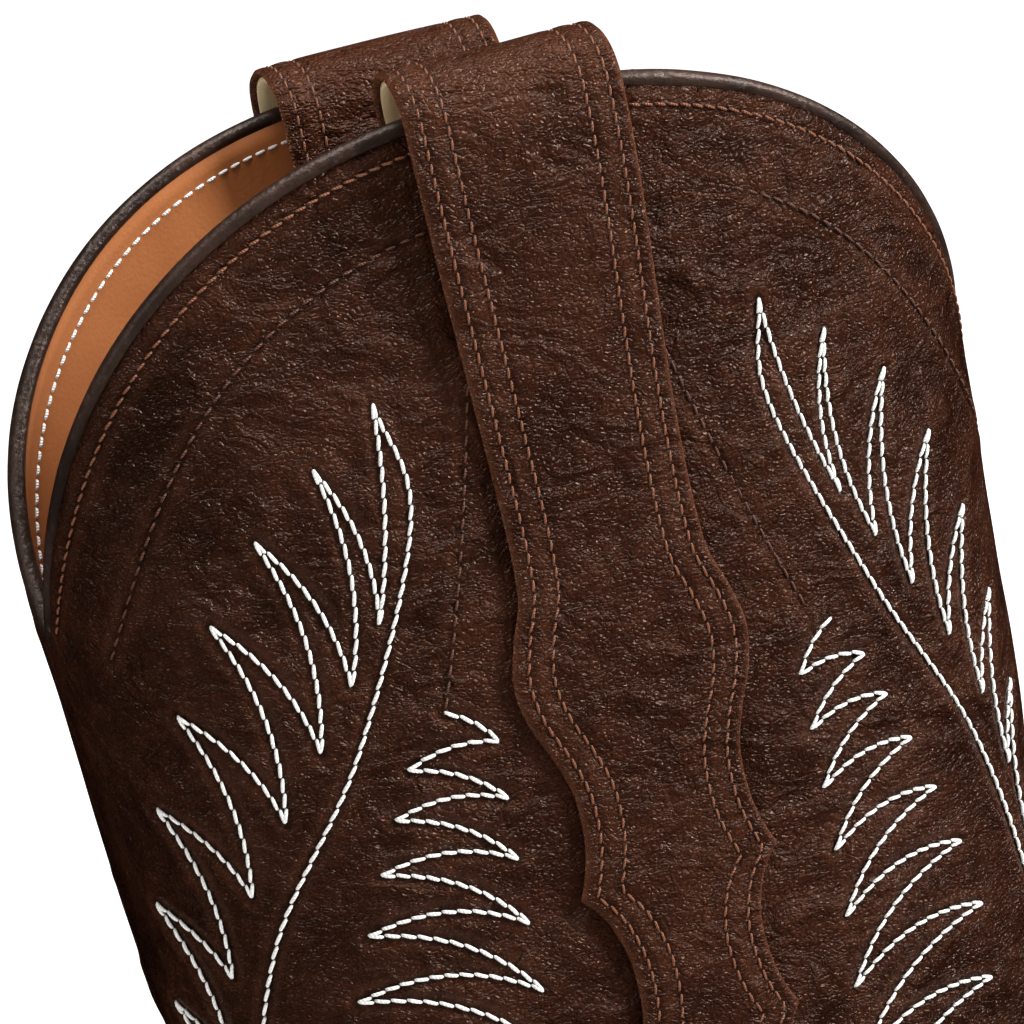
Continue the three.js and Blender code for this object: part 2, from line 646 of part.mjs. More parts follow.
// A strip along stretches of the strap's path: its ring is its outer side, then its inner side.
function strip(path, side, outer, inner, narrower) {
  const rows = path.map(([z, offset, down], i) => {
    const ahead = path[Math.min(path.length - 1, i + 1)];
    const back = path[Math.max(0, i - 1)];
    const turn = new THREE.Vector2(ahead[1] - back[1], ahead[0] - back[0]).normalize();
    const half = strapHalfWidth(down) - narrower;
    const at = (share, depth) => {
      const shiftOut = offset + turn.y * depth;
      const height = z - turn.x * depth;
      return wallPoint(seamLine(height) + share * half, height, side, shiftOut);
    };
    return [
      ...ACROSS_STRAP.map((share) => at(share, outer)),
      ...[...ACROSS_STRAP].reverse().map((share) => at(share, inner)),
    ];
  });
  return ringSolid(rows);
}
function buildStraps() {
  const path = strapPath();
  const outerHalf = STRAP_THICK / 2;
  const backingTop = -outerHalf - 0.12;
  const from = path.findIndex(([, , down]) => down === 18);
  const backed = path.slice(from, path.length - 5);
  for (const [name, side] of [["outer", -1], ["inner", 1]]) {
    addPiece("pull_strap_" + name, strip(path, side, outerHalf, -outerHalf, 0), "strap");
    const backing = strip(backed, side, backingTop, backingTop - STRAP_BACKING, 1.2);
    addPiece("pull_strap_lining_" + name, backing, "backing");
  }
}

// ---- The bottom ----
// Plan edges of the upper just above the seat, as [x, outer y, inner y] of the base surface.
const EDGE_STEPS = 90;
function seatEdge(u) {
  const s = section(u);
  const at = (share) => s.bottom.map((b, i) => b + share * (s.top[i] - b));
  let [low, high] = [0, s.widest];
  for (let k = 0; k < 30; k++) {
    const middle = (low + high) / 2;
    const [x, z] = at(middle);
    if (z > seatZ(x)) high = middle;
    else low = middle;
  }
  const share = low + (s.widest - low) * 0.5 * (1 - smooth((u - 5) / 4));
  const q = (s.widest - share) / s.widest;
  const half = s.half * (1 - q ** s.bottomPower) ** (1 / s.bottomPower);
  return [at(share)[0], s.centre - half, s.centre + half];
}
const LAST_EDGE_U = 12.2; // its seat crossing is at the back of the heel
const SEAT_EDGES = Array.from({ length: EDGE_STEPS + 1 }, (_, i) =>
  seatEdge(0.02 + ((LAST_EDGE_U - 0.02) * i) / EDGE_STEPS),
);
const SEAT_BACK = SEAT_EDGES[SEAT_EDGES.length - 1][0];
const marginAt = (x) => {
  const fore = smooth((x - BALL_BACK_X) / 60);
  const rear = smooth((x + HEEL_LENGTH + 30) / 40);
  const waist = WELT_MARGIN + (WAIST_MARGIN - WELT_MARGIN) * fore;
  return waist + (HEEL_MARGIN - waist) * rear;
};
// The seat's outline moved out by margin(x) (in, where negative), as a closed line round the toe and heel.
function movedOutline(margin) {
  const line = [
    ...SEAT_EDGES.map(([x, y]) => new THREE.Vector2(x, y)),
    ...[...SEAT_EDGES].reverse().map(([x, , y]) => new THREE.Vector2(x, y)),
  ];
  return line.map((p, i) => {
    const before = line[(i + line.length - 1) % line.length];
    const after = line[(i + 1) % line.length];
    const along = after.clone().sub(before).normalize();
    return new THREE.Vector2(p.x + along.y * margin(p.x), p.y - along.x * margin(p.x));
  });
}
// The same as [x, outer y, inner y] at the common stations and close to its two ends.
const PLAN_END = 0.25;
function planOutline(margin) {
  const line = movedOutline(margin);
  const front = Math.min(...line.map((p) => p.x)) + PLAN_END;
  const back = Math.max(...line.map((p) => p.x)) - PLAN_END;
  const inside = PLAN_X.filter((x) => x > front + PLAN_END && x < back - PLAN_END);
  return [front, ...inside, back].map((x) => {
    const crossings = line.flatMap((p, k) => {
      const q = line[(k + 1) % line.length];
      if (p.x > x === q.x > x) return [];
      return [p.y + ((q.y - p.y) * (x - p.x)) / (q.x - p.x)];
    });
    return [x, Math.min(...crossings), Math.max(...crossings)];
  });
}
// A slab over such an outline, between two heights that follow the sole's curve.
function soleSlab(margin, low, high) {
  const rows = planOutline(margin).map(([x, y0, y1]) => [
    new THREE.Vector3(x, y0, soleZ(x) + low),
    new THREE.Vector3(x, y1, soleZ(x) + low),
    new THREE.Vector3(x, y1, soleZ(x) + high),
    new THREE.Vector3(x, y0, soleZ(x) + high),
  ]);
  return ringSolid(rows);
}

const inset = (distance) => () => -distance;
const BREAST_X = -HEEL_LENGTH;
const SHANK_FROM = alongFoot(-182);
const SHANK_TO = -30;
const SHANK_WIDTH = 14;
const SHANK_THICK = 1.6;
function shankSolid(grow) {
  const [from, to] = [SHANK_FROM - grow, SHANK_TO + grow];
  const inside = PLAN_X.filter((x) => x > from + 1 && x < to - 1);
  const rows = [from, ...inside, to].map((x) => {
    const low = soleZ(x) + OUTSOLE + GAP + 0.4 - grow;
    const high = low + SHANK_THICK + 2 * grow;
    const half = SHANK_WIDTH / 2 + grow;
    return [[-half, low], [half, low], [half, high], [-half, high]].map(
      ([y, z]) => new THREE.Vector3(x, y, z),
    );
  });
  return ringSolid(rows);
}

// Square wooden pegs that hold the outsole to the insole along both sides of the waist.
const PEG = 2.2;
const PEG_ROWS = 5;
const PEG_PITCH = 15;
const PEG_FROM = BREAST_X - 14;
function pegPlaces() {
  const edges = planOutline(inset(WELT_REACH + 3));
  return [1, 2].flatMap((k) =>
    Array.from({ length: PEG_ROWS }, (_, i) => {
      const x = PEG_FROM - i * PEG_PITCH;
      const near = edges.reduce((a, b) => (Math.abs(b[0] - x) < Math.abs(a[0] - x) ? b : a));
      return [x, near[k]];
    }),
  );
}
function pegSolid([x, y], grow) {
  const [low, high] = [soleZ(x) + 0.6 - 12 * grow, soleZ(x) + OUTSOLE - 1.4 + grow];
  const box = new THREE.BoxGeometry(PEG + 2 * grow, PEG + 2 * grow, high - low);
  box.rotateZ(Math.PI / 4);
  box.translate(x, y, (low + high) / 2);
  return solidOf(box);
}

// Brass nails through the rubber cap into the heel stack.
const NAIL_RADIUS = 1.5;
const NAIL_LENGTH = 15;
const NAIL_SIDES = 8;
const NAILS = [
  [-0.78, -0.55],
  [-0.78, 0.55],
  [-0.42, -0.62],
  [-0.42, 0.62],
  [-0.14, 0],
];
const NAIL_SUNK = 0.4;
function nailSolid([share, side], radius, low, high) {
  const nail = new THREE.CylinderGeometry(radius, radius, high - low, NAIL_SIDES);
  nail.rotateX(Math.PI / 2);
  nail.translate(-HEEL_PITCH + share * (HEEL_LENGTH - 10), side * 22, (low + high) / 2);
  return solidOf(nail);
}

// The heel: its plan at the ground and at the seat, with lifts between them.
const HEEL_PLAN_STEPS = 10;
function heelPlan(z) {
  const down = 1 - z / HEEL_HEIGHT;
  const edges = planOutline(marginAt).filter(([x]) => x > BREAST_X - 8);
  const back = SEAT_BACK + marginAt(SEAT_BACK);
  const widthAt = (x, k) => {
    const next = edges.findIndex((e) => e[0] >= x);
    if (next <= 0) return edges[next < 0 ? edges.length - 1 : 0][k];
    const [a, b] = [edges[next - 1], edges[next]];
    return a[k] + ((b[k] - a[k]) * (x - a[0])) / (b[0] - a[0]);
  };
  const side = (k) =>
    Array.from({ length: HEEL_PLAN_STEPS + 1 }, (_, i) => {
      const share = Math.sin(((Math.PI / 2) * i) / HEEL_PLAN_STEPS);
      const x = BREAST_X + (back - 0.4 - BREAST_X) * share;
      const y = widthAt(x, k);
      const squeeze = 1 - (HEEL_TAPER * down) / 32;
      const slide = -HEEL_PITCH * down * Math.max(0, share) ** 1.5 + 1.5 * down * (1 - share);
      return new THREE.Vector3(x + slide, y * squeeze, z);
    });
  return [...side(1), ...side(2).reverse()];
}
const HEEL_SINK = 0.02; // flat lifts rest on each other with this much air
function heelSlice(low, high) {
  return ringSolid([heelPlan(low), heelPlan(high)]);
}

function buildBottom() {
  const outline = marginAt;
  const weltTop = OUTSOLE + WELT;
  const pegs = pegPlaces();
  let outsole = soleSlab(outline, 0, OUTSOLE);
  pegs.forEach((place) => {
    outsole = outsole.subtract(pegSolid(place, 0.15));
  });
  addPiece("outsole", outsole, "sole");
  pegs.forEach((place, i) => addPiece("peg_" + (i + 1), pegSolid(place, 0), "wood"));

  const rim = soleSlab(outline, OUTSOLE + GAP / 3, weltTop).subtract(
    soleSlab(inset(WELT_REACH), OUTSOLE - 2, weltTop + 2),
  );
  addPiece("welt", rim.intersect(frontOf(BREAST_X - GAP / 2)), "sole");
  addPiece("heel_rand", rim.intersect(behind(BREAST_X + GAP / 2)), "sole");

  const fill = soleSlab(inset(WELT_REACH + GAP), OUTSOLE + GAP, weltTop - GAP).subtract(
    shankSolid(GAP),
  );
  addPiece("cork_filler", fill.intersect(frontOf(BREAST_X - GAP / 2)), "cork");
  addPiece("heel_filler", fill.intersect(behind(BREAST_X + GAP / 2)), "board");
  addPiece("shank", shankSolid(0), "steel");

  const hollow = filled(LINING_FACE - GAP);
  const insoleLow = weltTop + GAP;
  const insole = soleSlab(inset(0), insoleLow, insoleLow + INSOLE);
  addPiece("insole", insole.intersect(hollow), "board");
  const bedLow = insoleLow + INSOLE + GAP;
  const footbed = soleSlab(inset(-2), bedLow, bedLow + FOOTBED);
  addPiece("footbed", footbed.intersect(hollow), "lining");

  const lift = (HEEL_HEIGHT - HEEL_CAP) / HEEL_LIFTS;
  const tip = NAIL_SUNK + NAIL_LENGTH;
  const nailHoles = NAILS.map((nail) => nailSolid(nail, NAIL_RADIUS + 0.15, -1, tip + 0.2));
  const drilled = (solid) => nailHoles.reduce((left, hole) => left.subtract(hole), solid);
  addPiece("heel_cap", drilled(heelSlice(0, HEEL_CAP - HEEL_SINK)), "rubber");
  for (let i = 0; i < HEEL_LIFTS; i++) {
    const low = HEEL_CAP + i * lift;
    const solid = drilled(heelSlice(low, low + lift - (i === HEEL_LIFTS - 1 ? GAP : HEEL_SINK)));
    addPiece("heel_lift_" + (i + 1), solid, "sole");
  }
  NAILS.forEach((nail, i) => {
    addPiece("heel_nail_" + (i + 1), nailSolid(nail, NAIL_RADIUS, NAIL_SUNK, tip), "brass");
  });
}

buildShaft();
buildFoot();
buildSpurRidge();
buildBinding();
buildStraps();
buildBottom();

const box = new THREE.Box3().setFromObject(boot);
boot.position.set(-(box.min.x + box.max.x) / 2, -(box.min.y + box.max.y) / 2, -box.min.z);

export default boot;
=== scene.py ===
"""A western riding boot for the left foot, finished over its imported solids.

The boot is drawn in millimetres from the back of its heel, with the toe along -X, the outer side along -Y and
the ground at zero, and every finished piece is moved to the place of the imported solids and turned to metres.
"""

import bpy
import numpy as np
from mathutils import Matrix, Vector


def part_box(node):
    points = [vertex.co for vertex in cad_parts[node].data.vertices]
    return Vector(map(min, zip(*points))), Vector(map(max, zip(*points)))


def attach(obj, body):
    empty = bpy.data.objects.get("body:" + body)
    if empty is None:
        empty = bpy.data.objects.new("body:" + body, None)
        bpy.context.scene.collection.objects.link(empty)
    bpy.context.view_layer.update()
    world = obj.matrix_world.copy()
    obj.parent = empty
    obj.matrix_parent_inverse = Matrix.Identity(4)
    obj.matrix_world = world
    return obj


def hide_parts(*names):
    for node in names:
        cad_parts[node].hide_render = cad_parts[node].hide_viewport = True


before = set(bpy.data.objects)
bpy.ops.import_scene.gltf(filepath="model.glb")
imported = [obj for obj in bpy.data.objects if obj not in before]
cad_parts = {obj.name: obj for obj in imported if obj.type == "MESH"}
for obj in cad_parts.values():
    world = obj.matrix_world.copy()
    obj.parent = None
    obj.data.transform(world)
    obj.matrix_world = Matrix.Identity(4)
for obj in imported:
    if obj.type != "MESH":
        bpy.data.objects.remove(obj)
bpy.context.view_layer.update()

# ---------------------------------------------------------------- studio
# A white sweep under soft boxes, and a long lens that looks down at the top of the shaft from its outer side.
NAIL_FROM_HEEL = -16.28  # the rearmost heel nail stands on the boot's middle line, this far in front of zero
nail_low, nail_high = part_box("heel_nail_5")
ZERO = np.array([(nail_low.x + nail_high.x) * 500 - NAIL_FROM_HEEL, (nail_low.y + nail_high.y) * 500, 0.0])


def placed(points):
    """Millimetres from the boot's zero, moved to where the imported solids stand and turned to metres."""
    return (np.asarray(points, float) + ZERO) * 0.001


def aimed(position, target, roll=0.0):
    """The matrix of a thing at a place that looks at a target, turned about its line of sight by roll."""
    back = (Vector(position) - Vector(target)).normalized()
    right = Vector((0, 0, 1)).cross(back).normalized()
    turned = Matrix.Rotation(roll, 3, back)
    right, up = turned @ right, turned @ back.cross(right)
    matrix = Matrix((right, up, back)).transposed().to_4x4()
    matrix.translation = Vector(position)
    return matrix


LOOK_AT = placed([-86.2, 0.0, 276.0])
AROUND, ABOVE, LEAN, AWAY = np.radians(-16.5), np.radians(12.4), np.radians(-11.95), 0.9
sight = np.array([np.sin(AROUND) * np.cos(ABOVE), -np.cos(AROUND) * np.cos(ABOVE), np.sin(ABOVE)])
lens = bpy.data.cameras.new("camera")
lens.lens, lens.sensor_width = 184.96, 36.0
lens.clip_start, lens.clip_end = 0.01, 50.0
camera = bpy.data.objects.new("camera", lens)
camera.matrix_world = aimed(LOOK_AT + AWAY * sight, LOOK_AT, LEAN)
bpy.context.scene.collection.objects.link(camera)
bpy.context.scene.camera = camera
bpy.context.scene.view_settings.view_transform = "Standard"

world = bpy.data.worlds.new("studio")
world.use_nodes = True
world.node_tree.nodes["Background"].inputs["Color"].default_value = (1.0, 1.0, 1.0, 1.0)
world.node_tree.nodes["Background"].inputs["Strength"].default_value = 0.12
world.cycles_visibility.glossy = False
bpy.context.scene.world = world

for name, place, width, height, watts in (
    ("box_left", (-1.05, -0.6, 0.95), 0.5, 0.9, 4.5),
    ("box_right", (1.1, -0.62, 0.9), 0.35, 0.45, 29.0),
    ("box_top", (0.1, -0.15, 1.4), 0.7, 0.4, 12.5),
):
    softbox = bpy.data.lights.new(name, "AREA")
    softbox.shape, softbox.size, softbox.size_y, softbox.energy = "RECTANGLE", width, height, watts
    lamp = bpy.data.objects.new(name, softbox)
    lamp.matrix_world = aimed(place, (0.03, 0.0, 0.24))
    bpy.context.scene.collection.objects.link(lamp)

class Value:
    """A node's output, on which arithmetic adds Math nodes."""

    def __init__(self, finish, socket):
        self.finish, self.socket = finish, socket

    def __add__(self, other):
        return self.finish.maths("ADD", self, other)

    def __sub__(self, other):
        return self.finish.maths("SUBTRACT", self, other)

    def __rsub__(self, other):
        return self.finish.maths("SUBTRACT", other, self)

    def __mul__(self, other):
        return self.finish.maths("MULTIPLY", self, other)

    __radd__, __rmul__ = __add__, __mul__


class Finish:
    """A material whose nodes are written as expressions; constants go straight onto the shader's sockets."""

    def __init__(self, name, **constants):
        self.material = bpy.data.materials.new(name)
        self.material.use_nodes = True
        self.tree = self.material.node_tree
        self.shader = self.tree.nodes["Principled BSDF"]
        for socket, value in constants.items():
            self.shader.inputs[socket.replace("_", " ")].default_value = value
        self.place = self.node("ShaderNodeTexCoord", {}, {}, "Object")

    def node(self, kind, settings, sockets, output=0):
        """One node of a kind, its settings first, then a value or a link for each socket."""
        made = self.tree.nodes.new(kind)
        for setting, value in settings.items():
            if setting == "stops":
                ramp = made.color_ramp.elements
                while len(ramp) < len(value):
                    ramp.new(0.5)
                for element, (position, colour) in zip(ramp, value):
                    element.position, element.color = position, colour
            else:
                setattr(made, setting, value)
        for socket, value in sockets.items():
            if isinstance(value, Value):
                self.tree.links.new(value.socket, made.inputs[socket])
            else:
                made.inputs[socket].default_value = value
        return Value(self, made.outputs[output])

    def maths(self, operation, a, b):
        return self.node("ShaderNodeMath", {"operation": operation}, {0: a, 1: b})

    def noise(self, scale, detail=4.0, roughness=0.55, distortion=0.0, at=None):
        sockets = {"Vector": at or self.place, "Scale": scale, "Detail": detail}
        sockets.update(Roughness=roughness, Distortion=distortion)
        return self.node("ShaderNodeTexNoise", {}, sockets)

    def cells(self, scale, feature="F1", at=None):
        sockets = {"Vector": at or self.place, "Scale": scale}
        return self.node("ShaderNodeTexVoronoi", {"feature": feature}, sockets, "Distance")

    def band(self, value, low, high):
        """0 below low, 1 above high, smooth between."""
        settings = {"interpolation_type": "SMOOTHSTEP"}
        return self.node("ShaderNodeMapRange", settings, {0: value, 1: low, 2: high, 3: 0.0, 4: 1.0})

    def blend(self, factor, a, b):
        settings = {"data_type": "RGBA", "clamp_factor": True}
        a, b = (v if isinstance(v, Value) else (*v, 1.0) for v in (a, b))
        return self.node("ShaderNodeMix", settings, {0: factor, 6: a, 7: b}, 2)

    def field(self, name):
        return self.node("ShaderNodeAttribute", {"attribute_name": name}, {}, "Fac")

    def bump(self, height, distance, strength=1.0, normal=None):
        sockets = {"Height": height, "Distance": distance, "Strength": strength}
        if normal is not None:
            sockets["Normal"] = normal
        return self.node("ShaderNodeBump", {}, sockets, "Normal")

    def feed(self, **sockets):
        for socket, value in sockets.items():
            self.tree.links.new(value.socket, self.shader.inputs[socket.replace("_", " ")])

    def on(self, *pieces):
        for made in pieces:
            made.data.materials.clear()
            made.data.materials.append(self.material)


paper = Finish("white_paper", Base_Color=(0.93, 0.93, 0.93, 1.0), Roughness=0.95, Emission_Strength=1.0)
far_away = paper.node("ShaderNodeVectorMath", {"operation": "LENGTH"}, {0: paper.place}, "Value")
paper.feed(Emission_Color=paper.node("ShaderNodeMapRange", {}, {0: far_away, 1: 0.45, 2: 1.1, 3: 0.22, 4: 1.0}))


def backdrop(name, points, faces):
    """A part of the studio in white paper, which gloss does not mirror."""
    mesh = bpy.data.meshes.new(name)
    mesh.from_pydata(points, [], faces)
    made = bpy.data.objects.new(name, mesh)
    bpy.context.scene.collection.objects.link(made)
    paper.on(made)
    made.visible_glossy = False
    return made


FLOOR_HALF, DOME_RADIUS, DOME_COLUMNS, DOME_ROWS = 30.0, 28.0, 49, 13
ends = (-FLOOR_HALF, FLOOR_HALF)
backdrop("floor", [(x, y, 0) for x in ends for y in ends], [(0, 2, 3, 1)])
around, above = np.meshgrid(np.linspace(0, 2 * np.pi, DOME_COLUMNS), np.linspace(-0.05, np.pi / 2, DOME_ROWS))
directions = np.stack([np.cos(around) * np.cos(above), np.sin(around) * np.cos(above), np.sin(above)], -1)
corner = (np.arange(DOME_ROWS - 1)[:, None] * DOME_COLUMNS + np.arange(DOME_COLUMNS - 1)).ravel()
dome_faces = np.stack([corner, corner + DOME_COLUMNS, corner + DOME_COLUMNS + 1, corner + 1], -1)
dome = backdrop("sweep", (DOME_RADIUS * directions).reshape(-1, 3).tolist(), dome_faces.tolist())
dome.visible_diffuse = dome.visible_shadow = False

# ---------------------------------------------------------------- shaft
# Two panels of mottled brown cowhide, 1.5 mm thick, that meet in the side seams. They are lasted over the leg
# and ankle, rise to a round lobe at each side and drop to a V at the front and the back.
SHAFT_HEIGHT, ANKLE_Z = 350.0, 200.0
FRONT_DIP, BACK_DIP, TOP_LINE_POWER, INNER_DROP = 75.0, 68.0, 0.91, 3.2
HEEL_LENGTH, HEEL_HEIGHT, OUTSOLE, WELT = 62.0, 40.0, 5.0, 3.0
BALL_BACK_X, BALL_FRONT_X, TOE_SPRING = -175.0, -205.0, 9.0
SHAFT_LEATHER, LINING, FOOT_LEATHER, GAP = 1.5, 1.0, 1.5, 0.3
SINK = 14.5  # how far the sections reach under the top of the welt
SEAM_BACK, SEAM_LEAN = 1.8, 0.027


def spline(values, u, even=False):
    """Uniform Catmull-Rom through values at 0, 1, 2, ...; an even one is level at 0, as a rounded tip is."""
    v = np.asarray(values, float)
    before = v[1] if even else 2 * v[0] - v[1]
    v = np.concatenate([[before], v, [2 * v[-1] - v[-2]]])
    i = np.clip(np.floor(u).astype(int), 0, len(v) - 4)
    t = u - i
    p0, p1, p2, p3 = v[i], v[i + 1], v[i + 2], v[i + 3]
    m1, m2 = (p2 - p0) / 2, (p3 - p1) / 2
    t2, t3 = t * t, t * t * t
    return (2 * t3 - 3 * t2 + 1) * p1 + (t3 - 2 * t2 + t) * m1 + (3 * t2 - 2 * t3) * p2 + (t3 - t2) * m2


def smooth(t):
    """3c^2 - 2c^3 of t held between 0 and 1."""
    c = np.clip(t, 0, 1)
    return c * c * (3 - 2 * c)


def hump(x, width, at=0.0):
    """exp(-((x - at) / width)^2): a rounded ridge."""
    return np.exp(-(((x - at) / width) ** 2))


def travelled(points):
    """Distance run along a line of points, from 0."""
    return np.concatenate([[0], np.cumsum(np.linalg.norm(np.diff(points, axis=0), axis=1))])


def halved(low, high, past, rounds=26):
    """The two sides of the place where a test turns true between low and high, by halving."""
    for _ in range(rounds):
        middle = (low + high) / 2
        over = past(middle)
        low, high = np.where(over, low, middle), np.where(over, middle, high)
    return low, high


def front_line(z):
    """The front of the shaft leans out by 75 mm in a metre above the ankle, and swells by 1.8 mm over the shin."""
    return -162.75 - 0.075 * (z - ANKLE_Z) - 1.8 * smooth((z - 150) / 60) * (1 - smooth((z - 260) / 90))


def back_line(z):
    """The back of the shaft leans out by 30 mm in a metre above the ankle and follows the heel in below it."""
    return -4.45 + np.where(z > ANKLE_Z, 0.03, 0.043) * (z - ANKLE_Z)


def seam_line(z):
    """The side seam starts 3 mm behind the middle at the top and leans back from it by 21 mm in a metre below."""
    return -83.6 - 0.016 * (z - ANKLE_Z) + SEAM_BACK + SEAM_LEAN * (SHAFT_HEIGHT - z)


def sole_z(x):
    """Height of the outsole's underside: flat at the ball, a smooth climb to the heel, a parabola up to the toe."""
    climb = smooth((x - BALL_BACK_X) / (-HEEL_LENGTH - 6 - BALL_BACK_X))
    toe = np.maximum(0, BALL_FRONT_X - x) / (BALL_FRONT_X + 298.0)
    return HEEL_HEIGHT * climb + TOE_SPRING * toe * toe


def seat_z(x):
    """Top of the welt, on which the upper stands."""
    return sole_z(x) + OUTSOLE + WELT


HEEL_SEAT = HEEL_HEIGHT + OUTSOLE + WELT
BALL_SEAT = float(seat_z(np.array(BALL_BACK_X)))


def under(x, sink=SINK):
    """A place of the side view below the top of the welt."""
    return (x, float(seat_z(np.array(x))) - sink)


# Stations from the toe tip, round the heel and up the shaft: the top or front point, the bottom or back point,
# half width, share of the section at which it is widest, exponents of its upper and lower half, centre in y.
STATIONS = [
    ((-297.5, BALL_SEAT + 11), (-297.5, BALL_SEAT + 11), 0, 0.45, 2.2, 2.6, 3.5),
    ((-294.0, BALL_SEAT + 23.5), under(-294.0, 10), 11.5, 0.43, 2.2, 2.7, 3.3),
    ((-286.0, BALL_SEAT + 31), under(-286.0, 13), 21.5, 0.4, 2.2, 2.8, 3),
    ((-270.0, BALL_SEAT + 38.5), under(-270.0), 32.5, 0.37, 2.15, 3, 2),
    ((-247.0, BALL_SEAT + 47), under(-247.0), 41.5, 0.34, 2.1, 3, 0.5),
    ((-222.0, BALL_SEAT + 56.5), under(-222.0), 47, 0.33, 2, 3, -1),
    ((-200.0, BALL_SEAT + 68), under(-199.0), 49, 0.33, 1.95, 3, -1.5),
    ((-184.0, BALL_SEAT + 80), under(-172.0), 46.5, 0.34, 1.9, 2.9, -1.2),
    ((-170.0, BALL_SEAT + 93.5), under(-141.0), 42.5, 0.37, 1.9, 2.8, -0.6),
    ((-158.0, BALL_SEAT + 109), under(-107.0), 39, 0.42, 2, 2.8, 0),
    ((front_line(135.0) + 14, 135.0), under(-71.0), 37, 0.46, 2.1, 2.9, 0),
    ((front_line(152.0) + 11.4, 152.0), under(-33.0), 36.5, 0.5, 2.2, 3, 0),
    ((front_line(169.0) + 7.2, 169.0), (-3.5, HEEL_SEAT - 4), 37, 0.5, 2.3, 2.9, 0),
    ((front_line(186.0) + 3, 186.0), (2.0, HEEL_SEAT + 21), 37.5, 0.5, 2.4, 2.7, 0),
    ((front_line(206.0) + 0.7, 206.0), (back_line(98.0) + 4.4, 98.0), 38, 0.5, 2.5, 2.6, 0),
    ((front_line(230.0), 230.0), (back_line(128.0) + 0.6, 128.0), 38, 0.5, 2.5, 2.5, 0),
    ((front_line(261.5), 261.5), (back_line(165.0), 165.0), 38, 0.5, 2.5, 2.5, 0),
    ((front_line(305.0), 305.0), (back_line(242.0), 242.0), 38, 0.5, 2.5, 2.5, 0),
    ((front_line(350.0), 350.0), (back_line(350.0), 350.0), 38, 0.5, 2.5, 2.5, 0),
    ((front_line(365.0), 365.0), (back_line(365.0), 365.0), 38, 0.5, 2.5, 2.5, 0),
]
LAST_U = len(STATIONS) - 1


def section(u):
    """Splines of the stations' columns: both ends in x and z, half width, widest share, exponents and centre."""
    ends = [[s[k][j] for s in STATIONS] for k in (0, 1) for j in (0, 1)]
    top_x, top_z, low_x, low_z = (spline(v, u, j in (0, 2)) for j, v in enumerate(ends))
    half, widest, over, below, centre = (spline([s[k] for s in STATIONS], u) for k in range(2, 7))
    return top_x, top_z, low_x, low_z, np.maximum(half, 0), widest, over, below, centre


def last_point(u, angle):
    """Superellipse: |cos|^(2/n) along a section from its widest share, |sin|^(2/n) of its half width across."""
    top_x, top_z, low_x, low_z, half, widest, over, below, centre = section(u)
    cosine, sine = np.cos(angle), np.sin(angle)
    power = 2 / np.where(cosine >= 0, over, below)
    share = widest + np.where(cosine >= 0, 1 - widest, -widest) * np.abs(cosine) ** power
    side = np.abs(sine) ** power * np.sign(sine)
    return np.stack(
        [low_x + share * (top_x - low_x), centre - half * side, low_z + share * (top_z - low_z)], -1
    )


def last_normal(u, angle):
    """Unit cross product of small steps round and along the surface, outward; forward at the toe tip."""
    step = 0.01
    along = last_point(np.minimum(LAST_U, u + step), angle) - last_point(np.maximum(0, u - step), angle)
    around = last_point(u, angle + step) - last_point(u, angle - step)
    normal = np.cross(around, along)
    return normal / np.maximum(1e-9, np.linalg.norm(normal, axis=-1, keepdims=True))


def u_at(angle, z, low=8.0):
    """The station at which the surface reaches a height at an angle, by halving."""
    a = np.full(np.broadcast(angle, z).shape, low)
    b = np.full(a.shape, float(LAST_U))
    a, b = halved(a, b, lambda u: last_point(u, angle)[..., 2] > z)
    return (a + b) / 2


def top_z(angle):
    """Height of the top line: the lobe's, less the drop on the inner side and the dip times (1 - |sin|)^power."""
    dip = np.where(np.cos(angle) >= 0, FRONT_DIP, BACK_DIP)
    drop = INNER_DROP * smooth(-np.sin(angle) * 1.3)
    return SHAFT_HEIGHT - drop - dip * (1 - np.minimum(1, np.abs(np.sin(angle)))) ** TOP_LINE_POWER


# The shaft laid flat: a level's distance round from the seam line (forward is positive) for each angle.
FLAT_LEVELS = np.linspace(60.0, 362.0, 50)
FLAT_REACH = np.linspace(-118.0, 118.0, 237)


def laid_flat():
    """For each level and each distance from the seam, the angle there, from running sums round the section."""
    angles = np.linspace(0.0, np.pi, 361)[None, :] + np.zeros((len(FLAT_LEVELS), 1))
    rings = last_point(u_at(angles, FLAT_LEVELS[:, None]), angles)
    steps = np.linalg.norm(np.diff(rings, axis=1), axis=2)
    run = np.concatenate([np.zeros((len(FLAT_LEVELS), 1)), np.cumsum(steps, 1)], 1)
    table = []
    for ring, length, level in zip(rings, run, FLAT_LEVELS):
        at_seam = np.interp(seam_line(level), ring[:, 0], length)
        table.append(np.interp(at_seam - FLAT_REACH, length, angles[0]))
    return np.array(table)


FLAT_ANGLES = laid_flat()


def flat_angle(reach, z):
    """The angle at a distance from the seam and a height, interpolated between the laid-flat levels."""
    row = np.clip((z - FLAT_LEVELS[0]) / (FLAT_LEVELS[1] - FLAT_LEVELS[0]), 0, len(FLAT_LEVELS) - 1.001)
    column = np.clip(reach - FLAT_REACH[0], 0, len(FLAT_REACH) - 1.001)
    i, j = row.astype(int), column.astype(int)
    a, b = row - i, column - j
    t = FLAT_ANGLES
    return (1 - a) * ((1 - b) * t[i, j] + b * t[i, j + 1]) + a * ((1 - b) * t[i + 1, j] + b * t[i + 1, j + 1])


def on_shaft(reach, z, side, offset=0.0):
    """Point of the shaft at a distance from the seam and a height, outer side -1 or inner 1, and its normal."""
    angle = -side * flat_angle(np.asarray(reach, float), np.asarray(z, float))
    u = u_at(angle, z)
    normal = last_normal(u, angle)
    return last_point(u, angle) + normal * np.asarray(offset)[..., None], normal


